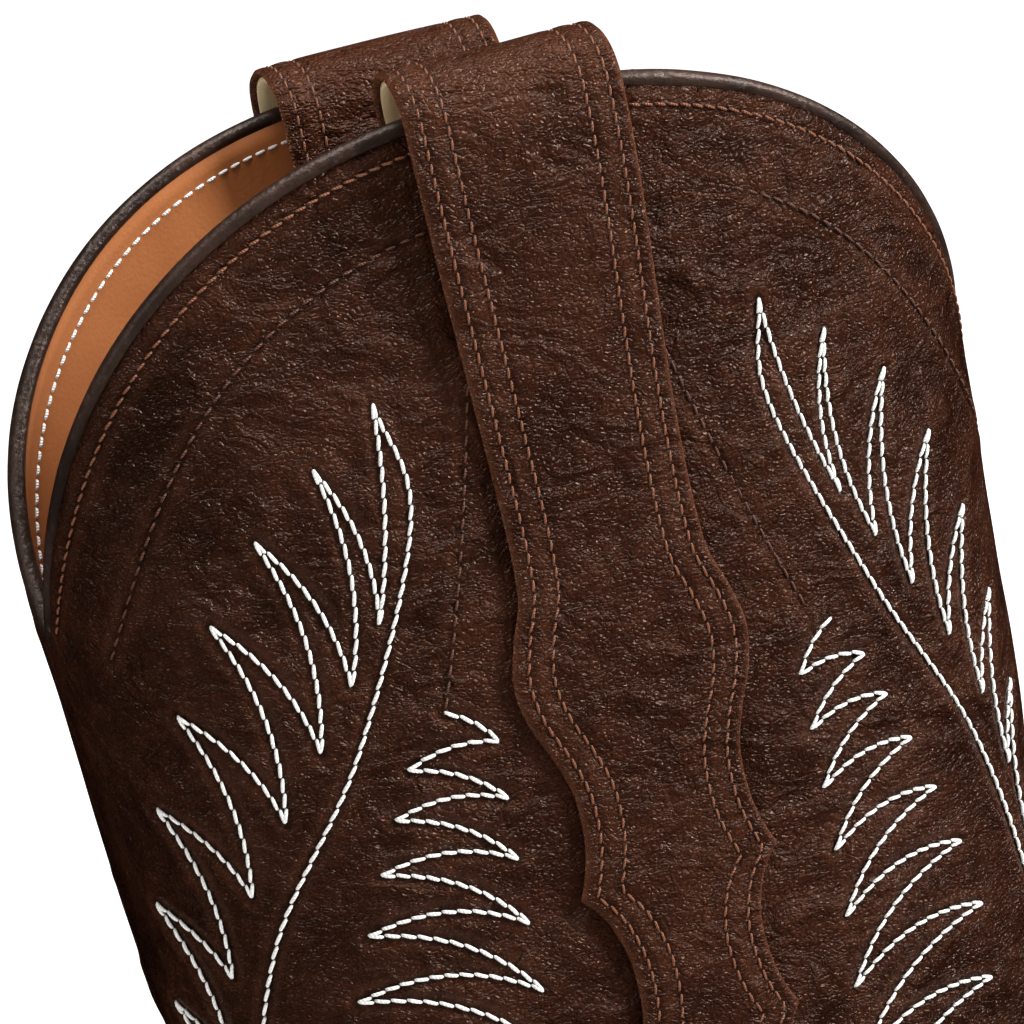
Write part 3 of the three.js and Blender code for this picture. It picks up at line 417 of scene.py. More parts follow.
def rounded(points, spacing=1.0):
    """Catmull-Rom curve through a few points, at an even spacing along it."""
    p = np.asarray(points, float)
    u = np.linspace(0, len(p) - 1, 40 * (len(p) - 1) + 1)
    curve = np.stack([spline(p[:, k], u) for k in range(p.shape[1])], 1)
    return evenly(curve, spacing)


def evenly(curve, spacing):
    """The same curve at an even spacing."""
    run = travelled(curve)
    stops = np.linspace(0, run[-1], max(2, int(round(run[-1] / spacing)) + 1))
    return np.stack([np.interp(stops, run, curve[:, k]) for k in range(curve.shape[1])], 1)


def strap_lean(down):
    """How far in front of the seam the strap's middle and the rows beside it lie at a depth below the lobes."""
    return SEAM_LEAN * down * (1 - smooth((down - 135) / 75))


def beside_top_line(distance, near, far, side):
    """A row beside the top line on the flat shaft: its curve moved down by a distance square to itself."""
    front = np.linspace(near, far, 90)
    angle = flat_angle(front, np.full(90, 330.0))
    for _ in range(6):
        angle = flat_angle(front, top_z(-side * angle))
    angle = -side * angle
    line = np.stack([front, top_z(angle)], 1)
    along = np.gradient(line, axis=0)
    along /= np.linalg.norm(along, axis=1, keepdims=True)
    down = np.stack([along[:, 1], -along[:, 0]], 1) * np.where(along[:, :1] > 0, 1, -1)
    return line + down * distance


# Feathers and ferns: the rows of white thread on each quarter of the shaft, as distance from the strap's middle
# and depth below the lobes.
FEATHER_TIPS, FERN_TIPS = 11, 9
QUARTERS = {  # the lines that carry the feather's tips, its roots and its spine, then the fern's two edges
    "front": (
        [(33, 42), (57, 60), (76, 86), (90, 118), (94, 156), (87, 198)],
        [(40, 78), (55, 98), (72, 121), (82, 150), (80, 204)],
        [(33, 42), (31, 62), (48, 98), (69, 128), (79, 160), (79, 190), (74, 216)],
        [(33, 95), (25, 102), (27, 150), (22, 200)],
        [(41, 103), (54, 130), (60, 155), (51, 195)],
    ),
    "back": (
        [(36, 42), (58, 60), (71, 88), (77, 122), (79, 160), (74, 198)],
        [(44, 78), (55, 98), (67, 123), (73, 155), (70, 204)],
        [(36, 42), (34, 60), (47, 96), (62, 127), (70, 160), (70, 190), (65, 215)],
        [(37, 98), (29, 106), (28, 148), (22, 203)],
        [(42, 106), (51, 133), (56, 160), (48, 198)],
    ),
}


def spaced(points, count, growth):
    """Places on the smooth line through a few points, with gaps that grow evenly to growth times the first."""
    line = rounded(points)
    run = travelled(line)
    places = np.concatenate([[0], np.cumsum(np.linspace(1, growth, count - 1))])
    places *= run[-1] / places[-1]
    return np.stack([np.interp(places, run, line[:, k]) for k in (0, 1)], 1)


def bowed(start, end, bow, towards):
    """A shallow arc between two points whose middle is pushed by a share of its length to one side."""
    a, b = np.asarray(start, float), np.asarray(end, float)
    t = np.linspace(0, 1, 24)[:, None]
    chord = b - a
    square = np.array([-chord[1], chord[0]])
    square = square if np.dot(square, towards) > 0 else -square
    return a + t * chord + 4 * t * (1 - t) * bow * square


def decorative_rows(quarter):
    """The zigzag of a feather, its spine and the zigzag of a fern: arcs from tip to root to the next tip."""
    tip_line, root_line, spine, near_line, far_line = QUARTERS[quarter]
    tips, roots = spaced(tip_line, FEATHER_TIPS, 1.45), spaced(root_line, FEATHER_TIPS - 1, 1.75)
    near = np.concatenate([[near_line[0]], spaced(near_line[1:], FERN_TIPS, 1.5)])
    far = spaced(far_line, FERN_TIPS, 1.8)
    zigzag = []
    for k in range(len(roots)):
        zigzag.append(bowed(tips[k], roots[k], 0.04 if k == 0 else 0.085, (-1, 0)))
        zigzag.append(bowed(roots[k], tips[k + 1], 0.09, (-1, 0)))
    fern = [bowed(near[0], near[1], 0.08, (0, -1))]
    for k in range(len(far)):
        grown = 0.1 + 0.03 * min(k, 4) / 4
        fern.append(bowed(near[k + 1], far[k], grown, (0, -1)))
        if k + 2 < len(near):
            fern.append(bowed(far[k], near[k + 2], grown - 0.01, (0, -1)))
    return [zigzag, [rounded(spine)], fern]


WHITE_ROWS, PLAIN_ROWS = [], []  # each: side and the row's stretches between sharp corners, or the row itself
BINDING_ROW, COLLAR_ROW = (3.3, 103.0), (16.0, 101.0)  # distance under the top line, reach from the seam
COLLAR_TO_FERN = [(16, 40), (20, 55), (24, 69), (28.5, 83), (32.7, 94.8)]
veer = rounded(COLLAR_TO_FERN)
for side in (-1, 1):
    for facing, quarter in ((1, "front"), (-1, "back")):
        for row in decorative_rows(quarter):
            flat = [np.stack([facing * p[:, 0] + SEAM_LEAN * p[:, 1], SHAFT_HEIGHT - p[:, 1]], 1) for p in row]
            WHITE_ROWS.append((side, flat))
        for distance, far in (BINDING_ROW, COLLAR_ROW):
            PLAIN_ROWS.append((side, beside_top_line(distance, facing * 14.0, facing * far, side)))
        front = facing * veer[:, 0] + strap_lean(veer[:, 1])
        PLAIN_ROWS.append((side, np.stack([front, SHAFT_HEIGHT - veer[:, 1]], 1)))


def sample_3d(rows, spacing=1.2):
    """Points along rows on the surface, as one list."""
    out = []
    for side, row in rows:
        for part in row if isinstance(row, list) else [row]:
            flat = evenly(part, spacing)
            out.append(on_shaft(flat[:, 0], flat[:, 1], side)[0])
    return np.concatenate(out)


def nearness(points, marks, reach):
    """Distance from each point to the closest mark, held at reach, in blocks."""
    flat = points.reshape(-1, 3).astype(np.float32)
    marks = marks.astype(np.float32)
    best = np.full(len(flat), reach * reach, np.float32)
    for start in range(0, len(flat), 4000):
        block = flat[start : start + 4000]
        low, high = block.min(0) - reach, block.max(0) + reach
        close = marks[((marks > low) & (marks < high)).all(1)]
        if len(close):
            gap = ((block[:, None, :] - close[None, :, :]) ** 2).sum(2).min(1)
            best[start : start + 4000] = np.minimum(gap, reach * reach)
    return np.sqrt(best).reshape(points.shape[:-1])


def undulation(points, seed, waves=14, shortest=14.0, longest=60.0):
    """Sum of sine waves of random direction, length and phase over space, between about -1 and 1."""
    dice = np.random.default_rng(seed)
    total = np.zeros(points.shape[:-1])
    for _ in range(waves):
        direction = dice.normal(size=3)
        direction /= np.linalg.norm(direction)
        length = dice.uniform(shortest, longest)
        total += np.sin(points @ direction * 2 * np.pi / length + dice.uniform(0, 2 * np.pi)) * length / longest
    return total / np.sqrt(waves)


def shell(name, outer, inner, fields=None, closed=False):
    """A closed skin from an outer and an inner grid of points, joined along their edges, facing outward."""
    rows, columns = outer.shape[:2]
    index = np.arange(rows * columns).reshape(rows, columns)
    if closed:
        index = np.concatenate([index, index[:, :1]], 1)
    quads = np.stack([index[:-1, :-1], index[1:, :-1], index[1:, 1:], index[:-1, 1:]], -1).reshape(-1, 4)
    far = rows * columns
    faces = [quads, quads[:, ::-1] + far]
    edges = [index[0], index[-1][::-1]] if closed else [index[0], index[:, -1], index[-1][::-1], index[::-1, 0]]
    for edge in edges:
        faces.append(np.stack([edge[:-1], edge[1:], edge[1:] + far, edge[:-1] + far], -1))
    faces = np.concatenate(faces)
    points = np.concatenate([outer.reshape(-1, 3), inner.reshape(-1, 3)])
    i, j = rows // 2, columns // 2
    facing = np.cross(outer[i + 1, j] - outer[i, j], outer[i, j + 1] - outer[i, j])
    if np.dot(facing, outer[i, j] - inner[i, j]) < 0:
        faces = faces[:, ::-1]
    values = {k: np.concatenate([v.ravel(), v.ravel()]) for k, v in (fields or {}).items()}
    return piece(name, points, faces, values)


def piece(name, points, faces, fields=None):
    """A named object from points in millimetres, faces of one size and a number per point for each field."""
    mesh = bpy.data.meshes.new(name)
    faces = np.asarray(faces, np.int32)
    size = faces.shape[1]
    mesh.vertices.add(len(points))
    mesh.vertices.foreach_set("co", placed(points).astype(np.float32).ravel())
    mesh.loops.add(faces.size)
    mesh.loops.foreach_set("vertex_index", faces.ravel())
    mesh.polygons.add(len(faces))
    mesh.polygons.foreach_set("loop_start", np.arange(len(faces), dtype=np.int32) * size)
    mesh.polygons.foreach_set("use_smooth", np.ones(len(faces), bool))
    mesh.update(calc_edges=True)
    for field, values in (fields or {}).items():
        layer = mesh.attributes.new(field, "FLOAT", "POINT")
        layer.data.foreach_set("value", np.asarray(values, np.float32))
    made = bpy.data.objects.new(name, mesh)
    bpy.context.scene.collection.objects.link(made)
    return made


def fitted(made, finish, slot, *stands_for):
    """A piece in its finish, riding on the boot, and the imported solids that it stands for."""
    finish.on(made)
    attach(made, "root")
    if stands_for:
        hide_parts(*stands_for)


def brown_leather(name, dark, middle, rust, wear_and_sheen_colour, warmth=0.0):
    """Short wrinkles of two sizes that lie along the hide; clouds of warmer brown and rust on their crests."""
    finish = Finish(name, Specular_IOR_Level=0.22, Specular_Tint=(1.0, 0.72, 0.58, 1.0))
    cloud = finish.noise(38.0, 5.0, 0.6, 0.4)
    mottle = finish.noise(160.0, 5.0, 0.62, 0.2)
    push = finish.node("ShaderNodeTexNoise", {}, {"Vector": finish.place, "Scale": 240.0, "Detail": 3.0}, 1)
    bending = {0: push, 1: (0.0022, 0.0022, 0.0022), 2: finish.place}
    bent = finish.node("ShaderNodeVectorMath", {"operation": "MULTIPLY_ADD"}, bending)
    slope = {"Vector": bent, "Rotation": (0.0, 0.75, 0.0), "Scale": (0.62, 1.0, 1.0)}
    along = finish.node("ShaderNodeMapping", {}, slope)
    pebble = finish.cells(1500.0, "DISTANCE_TO_EDGE", along)
    wrinkle = finish.noise(1050.0, 3.0, 0.55, 0.6, along)
    large = finish.cells(430.0, "DISTANCE_TO_EDGE", along)
    folds = finish.noise(95.0, 3.0, 0.5, 1.6, along)
    crest = finish.band(wrinkle, 0.5, 0.68) * finish.band(pebble, 0.02, 0.3)
    tone = finish.band(cloud * 0.65 + mottle * 0.35, 0.32 - warmth, 0.68 - warmth)
    base = finish.blend(tone, dark, middle)
    patch = finish.band(cloud * 0.5 + mottle * 0.5, 0.42, 0.62)
    colour = finish.blend(crest * (0.02 + 0.3 * patch), base, rust)
    colour = finish.blend((1.0 - finish.band(pebble, 0.0, 0.12)) * 0.3, colour, tuple(0.5 * c for c in dark))
    # Paler brown where this field is high: rubbed wear on edges, creases and stitch ridges, and a painted highlight
    # on the top of the straps' fold.
    worn = finish.field("worn") * (0.25 + 0.9 * mottle + crest * 0.4)
    colour = finish.blend(worn, colour, wear_and_sheen_colour)
    # Painted shade: much darker brown in the sunk stitch grooves.
    colour = finish.blend(finish.field("sunk") * 0.7, colour, tuple(0.35 * c for c in dark))
    height = finish.band(pebble, 0.0, 0.32) * 0.5 + wrinkle * 0.6
    height = height + finish.band(large, 0.0, 0.1) * 0.3 + mottle * 0.6
    normal = finish.bump(height, 0.0003, 1.0, finish.bump(folds + cloud * 0.7, 0.0045, 0.7))
    roughness = 0.31 + (cloud - 0.5) * 0.25 + (wrinkle - 0.5) * -0.25 + finish.field("sunk") * 0.15
    finish.feed(Base_Color=colour, Roughness=roughness, Normal=normal)
    return finish


def within(points_x, points_z, outline):
    """Whether points of the side view lie in a closed outline, by counting crossings."""
    inside = np.zeros(points_x.shape, bool)
    for (x0, z0), (x1, z1) in zip(outline, np.roll(outline, -1, axis=0)):
        if z0 == z1:
            continue
        spans = (z0 > points_z) != (z1 > points_z)
        inside ^= spans & (points_x < (x1 - x0) * (points_z - z0) / (z1 - z0) + x0)
    return inside


def stretch_inside(angle_of, low, high, count, outline):
    """For each column of the surface, the first and last station inside an outline of the side view."""
    u = np.linspace(low, high, 260)
    stations = u[None, :] + np.zeros((count, 1))
    grid = last_point(stations, angle_of(stations))
    inside = within(grid[..., 0], grid[..., 2], outline)
    first = inside.argmax(1)
    final = inside.shape[1] - 1 - inside[:, ::-1].argmax(1)

    def reached(middle):
        at = last_point(middle[:, None], angle_of(middle[:, None]))[:, 0]
        return within(at[:, 0], at[:, 2], outline)

    sides = ((np.maximum(first - 1, 0), first), (np.minimum(final + 1, len(u) - 1), final))
    return [halved(u[outside], u[inside_too], reached, 18)[1] for outside, inside_too in sides]


def side_curve(points):
    """A rounded line of the side view, whose heights are given for a heel seat at 48 mm and move with it."""
    curve = rounded(points, 1.5)
    return np.stack([curve[:, 0], curve[:, 1] - 48.0 + HEEL_SEAT], 1)


SHAFT_FOOT = [(-330, 130), (-230, 118), (-168, 112), (-142, 98), (-112, 80)]
SHAFT_FOOT += [(-80, 72), (-40, 82), (-12, 96), (40, 104)]
over_the_foot = np.concatenate([side_curve(SHAFT_FOOT), [(60, 500), (-340, 500)]])
white_marks = sample_3d(WHITE_ROWS)
plain_marks = sample_3d(PLAIN_ROWS)

PANEL_COLUMNS, PANEL_ROWS = 221, 205
seam_levels = np.linspace(60.0, 362.0, 90)


def shaft_grid(middle, columns, rows, off_seam=0.45):
    """Columns at shares of the angle from a dip to the seams, rows at heights from the foot line to the top."""
    share = np.linspace(-1, 1, columns)
    facing = 1 if middle < 1 else -1
    edge_angles = flat_angle(np.full(90, facing * off_seam), seam_levels)
    reach = abs(middle - edge_angles[45])

    def angle_at(z):
        to_edge = np.interp(z, seam_levels, edge_angles)
        return middle + share[None, :] * (to_edge if facing > 0 else np.pi - to_edge)

    rough = middle + share * reach
    low, high = stretch_inside(lambda u: rough[:, None] + 0 * u, 7.5, LAST_U, columns, over_the_foot)
    foot = last_point(low, rough)[:, 2]
    v = np.linspace(0, 1, rows)[:, None] ** 0.95
    z = foot[None, :] + v * (top_z(rough)[None, :] - foot[None, :])
    angle = angle_at(z)
    z = foot[None, :] + v * (top_z(angle) - foot[None, :])
    u = u_at(angle, z, 7.0)
    return angle, z, last_point(u, angle), last_normal(u, angle)


shaft_leather = brown_leather(
    "shaft_leather", (0.0115, 0.0031, 0.0014), (0.034, 0.0092, 0.0038), (0.13, 0.04, 0.016), (0.085, 0.028, 0.0125)
)
for name, middle in (("front", 0.0), ("back", np.pi)):
    angle, z, surface, normal = shaft_grid(middle, PANEL_COLUMNS, PANEL_ROWS)
    white = nearness(surface, white_marks, 5.0)
    plain = nearness(surface, plain_marks, 4.0)
    relief = -0.45 * hump(white, 0.85) - 0.26 * hump(plain, 0.6)
    relief += 0.32 * hump(white, 1.5, 2.4) + 0.14 * hump(plain, 1.1, 1.8)
    relief += 0.28 * undulation(surface, 3, shortest=9.0, longest=40.0)
    # The sunk field marks the stitch grooves, where the finish paints shade.
    sunk = np.maximum(hump(white, 0.62), 0.9 * hump(plain, 0.5))
    relief -= 0.5 * np.exp((z - top_z(angle)) / 2.0)
    fields = {"worn": 0.2 * hump(plain, 0.9, 1.6) + 0.3 * hump(white, 0.7, 1.5), "sunk": sunk}
    made = shell("shaft_" + name, surface + normal * relief[..., None], surface - normal * SHAFT_LEATHER, fields)
    fitted(made, shaft_leather, "shaft_leather", "shaft_" + name + "_panel")

# ---------------------------------------------------------------- shaft lining
# Tan kid leather, 1 mm thick, glued inside the two panels and caught by the rows under the binding.
LINING_FACE = -SHAFT_LEATHER - GAP - LINING
tan_leather = Finish("tan_lining", Specular_IOR_Level=0.15)
tan_cloud = tan_leather.noise(35.0, 5.0)
tan_grain = tan_leather.cells(1300.0)
tan_pores = tan_leather.noise(1900.0, 4.0)
tan_colour = tan_leather.blend(tan_leather.band(tan_cloud, 0.3, 0.7), (0.27, 0.083, 0.023), (0.34, 0.115, 0.035))
tan_colour = tan_leather.blend(tan_leather.band(tan_pores, 0.5, 0.8) * 0.35, tan_colour, (0.24, 0.085, 0.028))
tan_leather.feed(
    Base_Color=tan_colour,
    Roughness=0.62 + (tan_pores - 0.5) * 0.2,
    Normal=tan_leather.bump((1.0 - tan_grain) * 0.5 + tan_pores * 0.5, 0.00012, 0.6),
)
for name, middle in (("front", 0.0), ("back", np.pi)):
    angle, z, surface, normal = shaft_grid(middle, 121, 90, 0.1)
    ripple = 0.18 * undulation(surface, 8, shortest=25.0, longest=80.0)
    made = shell(
        "lining_" + name,
        surface - normal * (SHAFT_LEATHER + GAP),
        surface + normal * (LINING_FACE + ripple)[..., None],
    )
    fitted(made, tan_leather, "lining_leather", "shaft_lining_" + name)

# ---------------------------------------------------------------- top binding
# A strip of dark umber leather rolled into a bead over the top edge, in a front and a back half that join under
# the pull straps.
BEAD_RADIUS, BEAD_SIDES, BEAD_STEPS = 1.42, 18, 300
umber_leather = Finish("binding_leather", Specular_IOR_Level=0.4, Specular_Tint=(1.0, 0.82, 0.72, 1.0))
umber_fine = umber_leather.noise(700.0, 5.0)
umber_cloud = umber_leather.noise(60.0, 4.0)
umber_tone, umber_speck = umber_leather.band(umber_cloud, 0.35, 0.7), umber_leather.band(umber_fine, 0.58, 0.75)
umber_colour = umber_leather.blend(umber_tone, (0.014, 0.007, 0.0052), (0.036, 0.018, 0.0125))
umber_colour = umber_leather.blend(umber_speck * 0.6, umber_colour, (0.085, 0.052, 0.04))
umber_leather.feed(
    Base_Color=umber_colour,
    Roughness=0.4 + (umber_fine - 0.5) * 0.3,
    Normal=umber_leather.bump(umber_fine + umber_cloud, 0.0004, 0.9),
)


def rim(angle):
    """The top line's points, the wall's normals there and the direction up the wall square to the line."""
    step = 0.02
    u = u_at(angle, top_z(angle))
    point, normal = last_point(u, angle), last_normal(u, angle)
    ahead, behind = (last_point(u_at(angle + d, top_z(angle + d)), angle + d) for d in (step, -step))
    up = np.cross(ahead - behind, normal)
    up /= np.linalg.norm(up, axis=1, keepdims=True)
    return point, normal, up * np.sign(up[:, 2:3])


def bead(name, middle):
    """A circle swept along the top line, drawn closer to the dip and stretched there where the two sides meet."""
    share = np.linspace(-1, 1, BEAD_STEPS + 1)
    angle = middle + (np.pi / 2 - 0.012) * np.sign(share) * np.abs(share) ** 1.25
    point, normal, up = rim(angle)
    near_dip = hump(share, 0.03)[:, None]
    level_up = np.cross(np.array([0.0, 1.0, 0.0]), normal)
    level_up *= np.sign(level_up[:, 2:3])
    up = up * (1 - near_dip) + level_up * near_dip
    stretch = 1 + 0.45 * near_dip
    centre = point + normal * LINING_FACE / 2 + up * 0.95 * stretch
    turn = np.linspace(0, 2 * np.pi, BEAD_SIDES, endpoint=False)
    lumps = 1 + 0.03 * undulation(centre, 5, shortest=7.0, longest=25.0)[:, None, None]
    ring = (
        centre[:, None, :]
        + BEAD_RADIUS * 1.12 * lumps * np.cos(turn)[None, :, None] * normal[:, None, :]
        + BEAD_RADIUS * lumps * np.sin(turn)[None, :, None] * (up * stretch)[:, None, :]
    )
    return tube(name, ring)


def tube(name, ring):
    """A closed tube from rows of rings, with a fan over each end, facing outward."""
    rows, sides = ring.shape[:2]
    index = np.arange(rows * sides).reshape(rows, sides)
    index = np.concatenate([index, index[:, :1]], 1)
    quads = np.stack([index[:-1, :-1], index[:-1, 1:], index[1:, 1:], index[1:, :-1]], -1).reshape(-1, 4)
    hub = np.full(sides, rows * sides)
    fans = [
        np.stack([index[0, 1:], index[0, :-1], hub], -1),
        np.stack([index[-1, :-1], index[-1, 1:], hub + 1], -1),
    ]
    points = np.concatenate([ring.reshape(-1, 3), ring[0].mean(0)[None], ring[-1].mean(0)[None]])
    triangles = np.concatenate([quads[:, [0, 1, 2]], quads[:, [0, 2, 3]], *fans])
    a, b, c = points[triangles[:, 0]], points[triangles[:, 1]], points[triangles[:, 2]]
    if np.einsum("ij,ij->i", a, np.cross(b, c)).sum() < 0:
        triangles = triangles[:, ::-1]
    return piece(name, points, triangles)


for name, middle in (("front", 0.0), ("back", np.pi)):
    fitted(bead("binding_" + name, middle), umber_leather, "binding_leather", "top_binding_" + name)

# ---------------------------------------------------------------- pull straps
# One long piece of the shaft's leather each: a scalloped tail over the side seam, a straight leg that stands off
# the shaft, a fold over the top line and a leg that is sewn down inside. Its edges are pared round and rubbed pale;
# the top of the fold is painted paler, a painted highlight.
STRAP_THICK, STRAP_NECK, STRAP_REST = 1.5, 72.0, GAP + 0.75
LOOP_RISE, LOOP_OUT, LOOP_IN, INNER_LEG, LEAVES_WALL = 9.5, 4.4, 11.5, 74.0, 62.0
FOLD_HALF, NECK_HALF = 18.7, 16.4
SCALLOPS = [  # depth below the fold and half width, one list for each stretch between points
    [(72, 16.4), (80, 17), (87, 19.4), (94, 20.9), (101, 19.8), (108, 16.9)]
    + [(115, 15), (123, 15.1), (129, 16.6), (132, 17.9)],
    [(132, 17.9), (135, 15.4), (139, 13.4), (145, 12), (152, 12.2), (157, 13.3), (160, 14.6)],
    [(160, 14.6), (163, 12.4), (167, 10.6), (172, 9.4), (178, 9.2), (183, 9.9), (186, 10.9)],
    [(186, 10.9), (189, 8.6), (194, 6.1), (201, 3.6), (207, 1.9), (212, 0.5)],
]


def strap_outline():
    """Half width against distance below the fold: a smooth taper, one round swell, then points between hollows."""
    down = np.linspace(0, STRAP_NECK, 60)
    taper = FOLD_HALF + (NECK_HALF - FOLD_HALF) * smooth(down / STRAP_NECK)
    parts = [np.stack([down, taper], 1)[:-1]]
    parts += [rounded(stretch, 0.5)[:-1] for stretch in SCALLOPS[:-1]] + [rounded(SCALLOPS[-1], 0.5)]
    return np.concatenate(parts)


OUTLINE = strap_outline()


def strap_half(down, side):
    """The outline's half width; the inner strap is cut 2.6 mm wider at its fold."""
    return np.interp(down, OUTLINE[:, 0], OUTLINE[:, 1]) + 2.6 * (side > 0) * smooth(1 - down / STRAP_NECK)


def strap_path(spacing, side):
    """Height, stand-off from the wall and distance below the fold, from the tail up and over to the inner end."""
    lobe, loop_rise = SHAFT_HEIGHT - INNER_DROP * (side > 0), LOOP_RISE - 0.3 * (side > 0)
    down = np.linspace(212, 62, 200)
    legs = [np.stack([lobe - down, np.full(200, STRAP_REST), down], 1)]
    down = np.linspace(61.5, 2, 80)
    lift = smooth(1 - down / LEAVES_WALL)
    legs.append(np.stack([lobe - down, STRAP_REST + (LOOP_OUT - STRAP_REST) * lift, down], 1))
    turn = np.linspace(0, np.pi, 60)
    rise = (loop_rise - STRAP_THICK / 2) * np.sin(turn) ** 0.8
    middle, reach = (LOOP_OUT - LOOP_IN) / 2, (LOOP_OUT + LOOP_IN) / 2
    legs.append(np.stack([lobe + rise, middle + reach * np.cos(turn), 0 * turn], 1))
    down = np.linspace(2, INNER_LEG, 90)
    rest = LINING_FACE - GAP - STRAP_THICK / 2 - 0.5
    lift = smooth(1 - down / LEAVES_WALL)
    legs.append(np.stack([lobe - down, rest - (LOOP_IN + rest) * lift, down], 1))
    return evenly(np.concatenate(legs), spacing)


def half_width_at(x, z):
    """Half width of the surface over a point of the side view, from the section plane that holds it."""

    def past(u):
        front_x, front_z, back_x, back_z = section(u)[:4]
        return (front_x - back_x) * (z - back_z) - (front_z - back_z) * (x - back_x) > 0

    u = halved(np.full(np.shape(x), 8.0), np.full(np.shape(x), float(LAST_U)), past)[0]
    front_x, front_z, back_x, back_z, half, widest, over, below, _ = section(u)
    run_x, run_z = front_x - back_x, front_z - back_z
    share = ((x - back_x) * run_x + (z - back_z) * run_z) / (run_x**2 + run_z**2)
    ahead = share >= widest
    q = np.where(ahead, (share - widest) / (1 - widest), (widest - share) / widest)
    power = np.where(ahead, over, below)
    return half * (1 - np.minimum(1, np.abs(q)) ** power) ** (1 / power)


def off_wall(x, z, side, offset):
    """Point over the side wall at a place of the side view, moved out along the wall's normal."""
    y = half_width_at(x, z)
    slope_x = (half_width_at(x + 0.5, z) - half_width_at(x - 0.5, z)) / 1.0
    slope_z = (half_width_at(x, z + 0.5) - half_width_at(x, z - 0.5)) / 1.0
    normal = np.stack([-slope_x, np.ones_like(x), -slope_z], -1)
    normal /= np.linalg.norm(normal, axis=-1, keepdims=True)
    point = np.stack([x, y, z], -1) + normal * offset[..., None]
    return point * np.array([1.0, side, 1.0])


def pared_to(distance, width):
    """Thickness of a pared edge as a share of the whole: a quarter circle over the width, then 1."""
    return np.sqrt(np.clip(1 - (1 - np.clip(distance / width, 0, 1)) ** 2, 0, 1))


def strap_surface(path, share, side, depth, half):
    """Points across the strap at each station of its path, moved along the path's own normal by a depth."""
    step = np.gradient(path[:, :2], axis=0)
    step /= np.linalg.norm(step, axis=1, keepdims=True)
    out = path[:, 1:2] + step[:, :1] * depth
    height = path[:, :1] - step[:, 1:2] * depth
    ahead = strap_lean(SHAFT_HEIGHT - np.minimum(height, SHAFT_HEIGHT))
    across = seam_line(height) - ahead + share * half + 0.8 * (side > 0)
    return off_wall(across, height + 0 * across, side, out + 0 * across)


STRAP_ROWS_IN = (2.7, 6.9)  # the two rows along each edge
strap_leather = brown_leather(
    "strap_leather",
    (0.0125, 0.0035, 0.0016),
    (0.036, 0.0098, 0.0042),
    (0.14, 0.043, 0.0175),
    (0.12, 0.04, 0.018),
    warmth=0.03,
)
for name, side in (("outer", -1), ("inner", 1)):
    path = strap_path(0.85, side)
    half = strap_half(path[:, 2], side)[:, None]
    even = np.linspace(-1, 1, 47)[None, :]
    share = np.sin(even * np.pi / 2) * 0.35 + even * 0.65
    edge = (1 - np.abs(share)) * half
    run = travelled(path[:, :2])[:, None]
    pared = pared_to(edge, 1.2) * pared_to(np.minimum(run, run[-1] - run), 1.2)
    groove = sum(hump(edge, 0.5, inset) for inset in STRAP_ROWS_IN)
    flat = strap_surface(path, share, side, np.zeros_like(edge), half)
    waves = undulation(flat, 11 + side, shortest=8.0, longest=35.0)
    relief = 0.75 * pared - 0.3 * groove * (edge > 0.8) + 0.12 * waves * pared + 0.1 * hump(edge, 1.1, 4.8)
    outer = strap_surface(path, share, side, relief, half)
    inner = strap_surface(path, share, side, -0.75 * pared, half)
    # Paler over the top of the fold: a painted highlight where the top light falls, not wear.
    fold = hump(path[:, :1], 14.0, SHAFT_HEIGHT + LOOP_RISE)
    worn = np.clip(0.9 * hump(edge, 0.6) + 0.3 * fold + 0.15 * hump(edge, 1.0, 4.8), 0, 1)
    # The sunk field marks the stitch grooves, where the finish paints shade.
    made = shell("pull_strap_leather_" + name, outer, inner, {"worn": worn, "sunk": np.clip(groove, 0, 1) * 0.8})
    fitted(made, strap_leather, "strap_leather", "pull_strap_" + name)

# ---------------------------------------------------------------- backing of the straps
# Cream leather glued inside each loop, where the fingers go.
cream_leather = Finish("strap_backing", Specular_IOR_Level=0.3)
cream_fine = cream_leather.noise(900.0, 5.0)
cream_colour = cream_leather.blend(cream_leather.noise(50.0, 4.0), (0.5, 0.36, 0.19), (0.66, 0.5, 0.3))
cream_leather.feed(
    Base_Color=cream_colour,
    Roughness=0.65 + (cream_fine - 0.5) * 0.2,
    Normal=cream_leather.bump(cream_fine, 0.0001, 0.6),
)
for name, side in (("outer", -1), ("inner", 1)):
    path = strap_path(1.2, side)
    above = np.where(path[:, 0] > SHAFT_HEIGHT - 24)[0]
    path = path[above[0] : above[-1] + 1]
    share = np.linspace(-1, 1, 25)[None, :]
    half = strap_half(path[:, 2], side)[:, None] - 1.0
    flat = np.zeros((len(path), 25))
    made = shell(
        "loop_backing_" + name,
        strap_surface(path, share, side, flat - 0.87, half),
        strap_surface(path, share, side, flat - 1.77, half),
    )
    fitted(made, cream_leather, "strap_backing", "pull_strap_lining_" + name)

# ---------------------------------------------------------------- white thread
# Feathers and ferns of thick bonded white thread, in separate lockstitches that dip into the leather at both ends.
THREAD_RADIUS, STITCH, STITCH_GAP = 0.33, 2.6, 0.02


